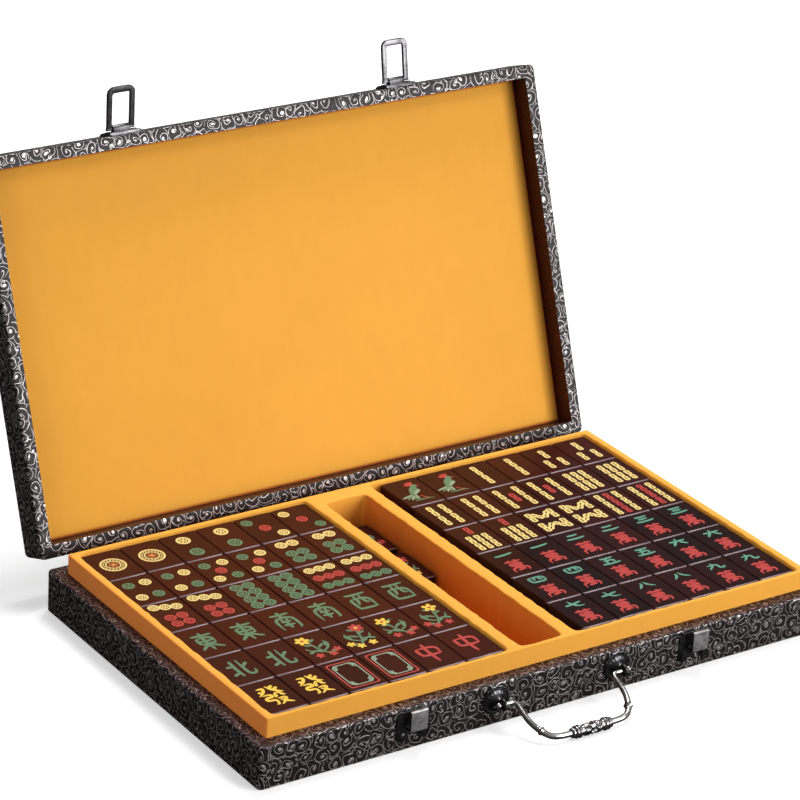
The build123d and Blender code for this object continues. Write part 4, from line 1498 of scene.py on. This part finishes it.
def bail():
    """The handle's bent bar: pins in the eyes, swelling arms with a collar on each, and a straight middle."""
    pin_end = 49.4
    half = [
        (0.0, HANDLE_DROP), (10.0, HANDLE_DROP), (20.5, 32.7), (29.0, 31.4), (33.2, 25.4), (36.4, 18.6),
        (37.2, 10.5), (36.6, 3.8), (37.6, 0.2), (41.0, 0.0), (44.0, 0.0), (47.0, 0.0), (pin_end, 0.0),
    ]
    line = flowing([(-x, y) for x, y in reversed(half[1:])] + half)
    collar_x, collar_y = min(line, key=lambda point: hypot(point[0] - 33.0, point[1] - 25.6))

    def width_at(x, y):
        swell = min(max(y / 26.0, 0.0), 1.0) ** 0.6
        near = hypot(abs(x) - collar_x, y - collar_y)
        return 1.45 + 0.5 * swell + 1.05 * max(0.0, 1.0 - near / 1.5) + 0.25 * (2.1 < near < 2.9)

    knob = [(-1.9, 0.6), (-1.5, 1.35), (-0.8, 1.85), (0.0, 2.0), (0.8, 1.85), (1.5, 1.35), (1.9, 0.6)]
    parts = [swept("arms", line, width_at, HANDLE)]
    for side in (-1, 1):
        place = HANDLE @ Matrix.Translation((pin_end * side * MM, 0, 0))
        parts.append(turned("pin_end", knob, place, 16))
    return gathered("handle_bar", parts)


def carved_barrel(height, radius, angle):
    """Leaves and petals carved round the middle of the grip."""
    reach = 1.0 - min(abs(height) / 7.4, 1.0)
    if reach <= 0.0:
        return 0.0
    leaves = cos(5 * angle + 0.5 * sin(height)) * cos(pi * height / 4.6)
    veins = cos(15 * angle) * cos(pi * height / 1.9)
    return min(1.0, 4 * reach) * (0.42 * max(-1.0, min(1.0, 2.6 * leaves)) + 0.10 * veins - 0.12)


def grip():
    """The turned grip: three ribbed rings at each end and a carved barrel between."""
    end = [
        (15.5, 2.2), (15.3, 2.7), (14.7, 3.2), (14.1, 3.2), (13.7, 2.6), (13.2, 2.6), (12.8, 3.4),
        (12.3, 3.95), (11.6, 3.95), (11.2, 3.2), (10.9, 3.2), (10.5, 3.9), (9.9, 4.2), (9.2, 4.1),
        (8.7, 3.3), (8.2, 3.2),
    ]
    half, steps = 7.6, 24
    ups = [i / steps for i in range(-steps, steps + 1)]
    barrel = [(half * up, 3.2 + 0.6 * (1 - up**2)) for up in ups]
    profile = [(-height, radius) for height, radius in end] + barrel + end[::-1]
    axis, down, out = HANDLE.to_3x3().col
    place = framed((HANDLE @ Vector((0, HANDLE_DROP * MM, 0))) / MM, down, out, axis)
    return turned("handle_barrel", profile, place, 60, carved_barrel)


def scallops(height, radius, angle):
    """The rosette's lobes: deep at the rim, shallow on its dish."""
    if radius > 8.0:
        return 0.32 * cos(16 * angle) - 0.1
    return 0.22 * cos(16 * angle) - 0.1 if radius > 4.6 else 0.0


def rosette(spot):
    """A post of the handle: a scalloped dish on the front, a neck with an eye, and a shank in the board."""
    profile = [
        (-COVER - WALL, 2.2), (0.0, 2.2), (0.0, 9.4), (0.4, 9.8), (0.9, 9.7), (1.2, 9.1), (1.0, 8.5),
        (0.9, 7.6), (1.1, 6.6), (1.6, 5.4), (2.0, 4.8), (1.8, 4.3), (2.3, 3.9), (3.2, 3.4), (4.2, 2.9),
        (5.6, 2.5),
    ]
    middle = Vector((spot, FRONT_Y, HANDLE_HIGH))
    dish = turned("dish", profile, framed(middle, X, Z, -Y), 64, scallops)
    eye = ring_bar("eye", 2.85, 1.15, framed(middle - Y * HANDLE_REACH, Y, Z, X))
    return gathered("rosette", [dish, eye])


class CASE_OT_handle(Operator):
    """Make the handle, its grip and its rosettes"""

    bl_idname = "case.handle"
    bl_label = "Handle"

    def execute(self, context):
        polished, dark = pewter("polished"), gunmetal("dark")
        pieces = [
            ("handle_bar", bail(), "handle", polished, "handle_bail"),
            ("handle_barrel", grip(), "handle", polished, "handle_grip"),
        ]
        for side, spot in zip(("left", "right"), HANDLE_X):
            pieces.append((f"rosette_{side}", rosette(spot), "base", dark, f"handle_post_{side}"))
        for name, mesh, body, metal, node in pieces:
            smooth(mesh, 50.0)
            show(name, mesh, body, metal, (node,))
        refined("handle_post_nuts", "base", hinge_steel(), 0.15)
        return {"FINISHED"}


class CASE_OT_hinges(Operator):
    """Finish the hinges at the back"""

    bl_idname = "case.hinges"
    bl_label = "Hinges"

    def execute(self, context):
        for node in (
            "base_hinge_leaf_left", "lid_hinge_leaf_left", "base_hinge_leaf_right", "lid_hinge_leaf_right",
            "hinge_pins", "base_hinge_screws", "lid_hinge_screws",
        ):
            body = "lid" if node.startswith("lid") else "base"
            refined(node, body, hinge_steel(), 0.1)
        return {"FINISHED"}


# ------------------------------------------------------------------ stage
# Places in metres and angles in degrees
CAMERA_PLACE = (-1.2232, -1.7183, 1.0955)
CAMERA_TURN, CAMERA_TILT, CAMERA_ROLL = 35.157, 24.371, -3.421
LAMP_TARGET = Vector((0.0, 0.0, 0.1))
# Each lamp's place and width
LAMPS = {
    "key": ((0.58, 0.62, 2.20), 0.9),
    "front": ((1.29, -2.13, 0.75), 1.3),
    "side": ((1.36, -1.22, 1.95), 0.7),
    "fill": ((-1.60, -0.50, 0.70), 1.0),
}
WHITE = (1.0, 1.0, 1.0)


def lamp(name, place, size, power):
    """A soft square lamp turned to the case."""
    data = bpy.data.lights.new(name, "AREA")
    data.size = size
    data.energy = power
    holder = bpy.data.objects.new(name, data)
    bpy.context.scene.collection.objects.link(holder)
    holder.location = place
    holder.rotation_euler = (Vector(place) - LAMP_TARGET).to_track_quat("Z", "Y").to_euler()
    return holder


def backdrop():
    """A white surround to the eye, soft grey light for the case, and a brighter side for shiny things."""
    bright_way = (0.72, -0.60, 0.35)
    looks = bpy.context.scene.case_stage
    world = bpy.data.worlds.new("Surround")
    bpy.context.scene.world = world
    world.use_nodes = True
    tree = world.node_tree
    sky = tree.nodes["Background"]
    seen = add(tree, "ShaderNodeLightPath").outputs
    shiny = calc(tree, "MAXIMUM", seen["Is Glossy Ray"], seen["Is Transmission Ray"])
    way = add(tree, "ShaderNodeTexCoord").outputs["Generated"]
    shown = spread(tree, vcalc(tree, "DOT_PRODUCT", way, bright_way, out=1), -0.7, 0.9, 0.03, looks.shine)
    soft = add(tree, "ShaderNodeMix", {0: shiny, 2: looks.surround, 3: shown}).outputs[0]
    feed(tree, sky.inputs["Color"], WHITE)
    feed(tree, sky.inputs["Strength"], calc(tree, "MAXIMUM", seen["Is Camera Ray"], soft))


def floor():
    """A wide pale floor that goes white to the eye and keeps the shadow."""
    half, low = 4.0, cad_box[0][2]
    corners = [(-half, -half, low), (half, -half, low), (half, half, low), (-half, half, low)]
    mesh = bpy.data.meshes.new("floor")
    mesh.from_pydata(corners, [], [(0, 1, 2, 3)])
    ground = bpy.data.objects.new("floor", mesh)
    bpy.context.scene.collection.objects.link(ground)
    material, tree, shader = material_with(
        "Floor paper", Roughness=0.95, Specular_IOR_Level=0.1, Emission_Color=WHITE
    )
    place = object_coords(tree)
    seen = add(tree, "ShaderNodeLightPath").outputs["Is Camera Ray"]
    pale = blend(tree, noise(tree, place, 3.0), (0.80, 0.80, 0.80), (0.82, 0.82, 0.82))
    # Its own white grows with the distance from the case, so that the far floor has no grey edge
    glow = spread(tree, vcalc(tree, "LENGTH", place, out=1), 0.7, 2.6, 0.42, 1.0)
    feed(tree, shader.inputs["Base Color"], blend(tree, seen, (0.055, 0.055, 0.055), pale))
    feed(tree, shader.inputs["Emission Strength"], calc(tree, "MULTIPLY", seen, glow))
    mesh.materials.append(material)


def camera():
    """A long lens to the left of the front, above the open case, rolled a little."""
    turn, tilt, roll = radians(CAMERA_TURN), radians(CAMERA_TILT), radians(CAMERA_ROLL)
    ahead = Vector((sin(turn) * cos(tilt), cos(turn) * cos(tilt), -sin(tilt)))
    right = Vector((cos(turn), -sin(turn), 0))
    down = ahead.cross(right)
    x = right * cos(roll) + down * sin(roll)
    y = right * sin(roll) - down * cos(roll)
    facing = Matrix((x, y, -ahead)).transposed().to_4x4()
    data = bpy.data.cameras.new("camera")
    data.sensor_width = 36.0
    data.lens = bpy.context.scene.case_stage.lens
    data.clip_end = 50.0
    holder = bpy.data.objects.new("camera", data)
    bpy.context.scene.collection.objects.link(holder)
    holder.matrix_world = Matrix.Translation(CAMERA_PLACE) @ facing
    bpy.context.scene.camera = holder


class CASE_OT_stage(Operator):
    """Set up the floor, lamps and camera"""

    bl_idname = "case.stage"
    bl_label = "Stage"

    def execute(self, context):
        camera()
        floor()
        backdrop()
        for name, (place, size) in LAMPS.items():
            holder = lamp(name, place, size, getattr(context.scene.case_stage, name))
            holder.visible_glossy = name != "fill"
        context.scene.view_settings.view_transform = "Standard"
        return {"FINISHED"}


# ------------------------------------------------------------------ add-on
PIECES = (
    CASE_OT_covering, CASE_OT_boards, CASE_OT_tray, CASE_OT_lining, CASE_OT_tiles, CASE_OT_marks,
    CASE_OT_latches, CASE_OT_handle, CASE_OT_hinges, CASE_OT_stage,
)
SETTINGS = {
    "case_covering": CoveringSettings, "case_suede": SuedeSettings, "case_tiles": TileSettings,
    "case_fittings": FittingSettings, "case_stage": StageSettings,
}


class CASE_PT_pieces(Panel):
    """The case's pieces, each with its own button"""

    bl_idname = "CASE_PT_pieces"
    bl_label = "Mahjong case"
    bl_space_type = "VIEW_3D"
    bl_region_type = "UI"
    bl_category = "Mahjong case"

    def draw(self, context):
        for piece in PIECES:
            self.layout.operator(piece.bl_idname)
        for name, group in SETTINGS.items():
            box = self.layout.box()
            box.label(text=group.__doc__)
            for key in group.__annotations__:
                box.prop(getattr(context.scene, name), key)


def register():
    """Make the settings, pieces and panel known to Blender."""
    for name, group in SETTINGS.items():
        bpy.utils.register_class(group)
        setattr(bpy.types.Scene, name, PointerProperty(type=group))
    for piece in (*PIECES, CASE_PT_pieces):
        bpy.utils.register_class(piece)


def unregister():
    """Take them out again."""
    for piece in reversed((*PIECES, CASE_PT_pieces)):
        bpy.utils.unregister_class(piece)
    for name, group in reversed(SETTINGS.items()):
        delattr(bpy.types.Scene, name)
        bpy.utils.unregister_class(group)


def main():
    """Make every piece in turn."""
    register()
    for piece in PIECES:
        group, call = piece.bl_idname.split(".")
        getattr(getattr(bpy.ops, group), call)()


if __name__ == "__main__":
    main()
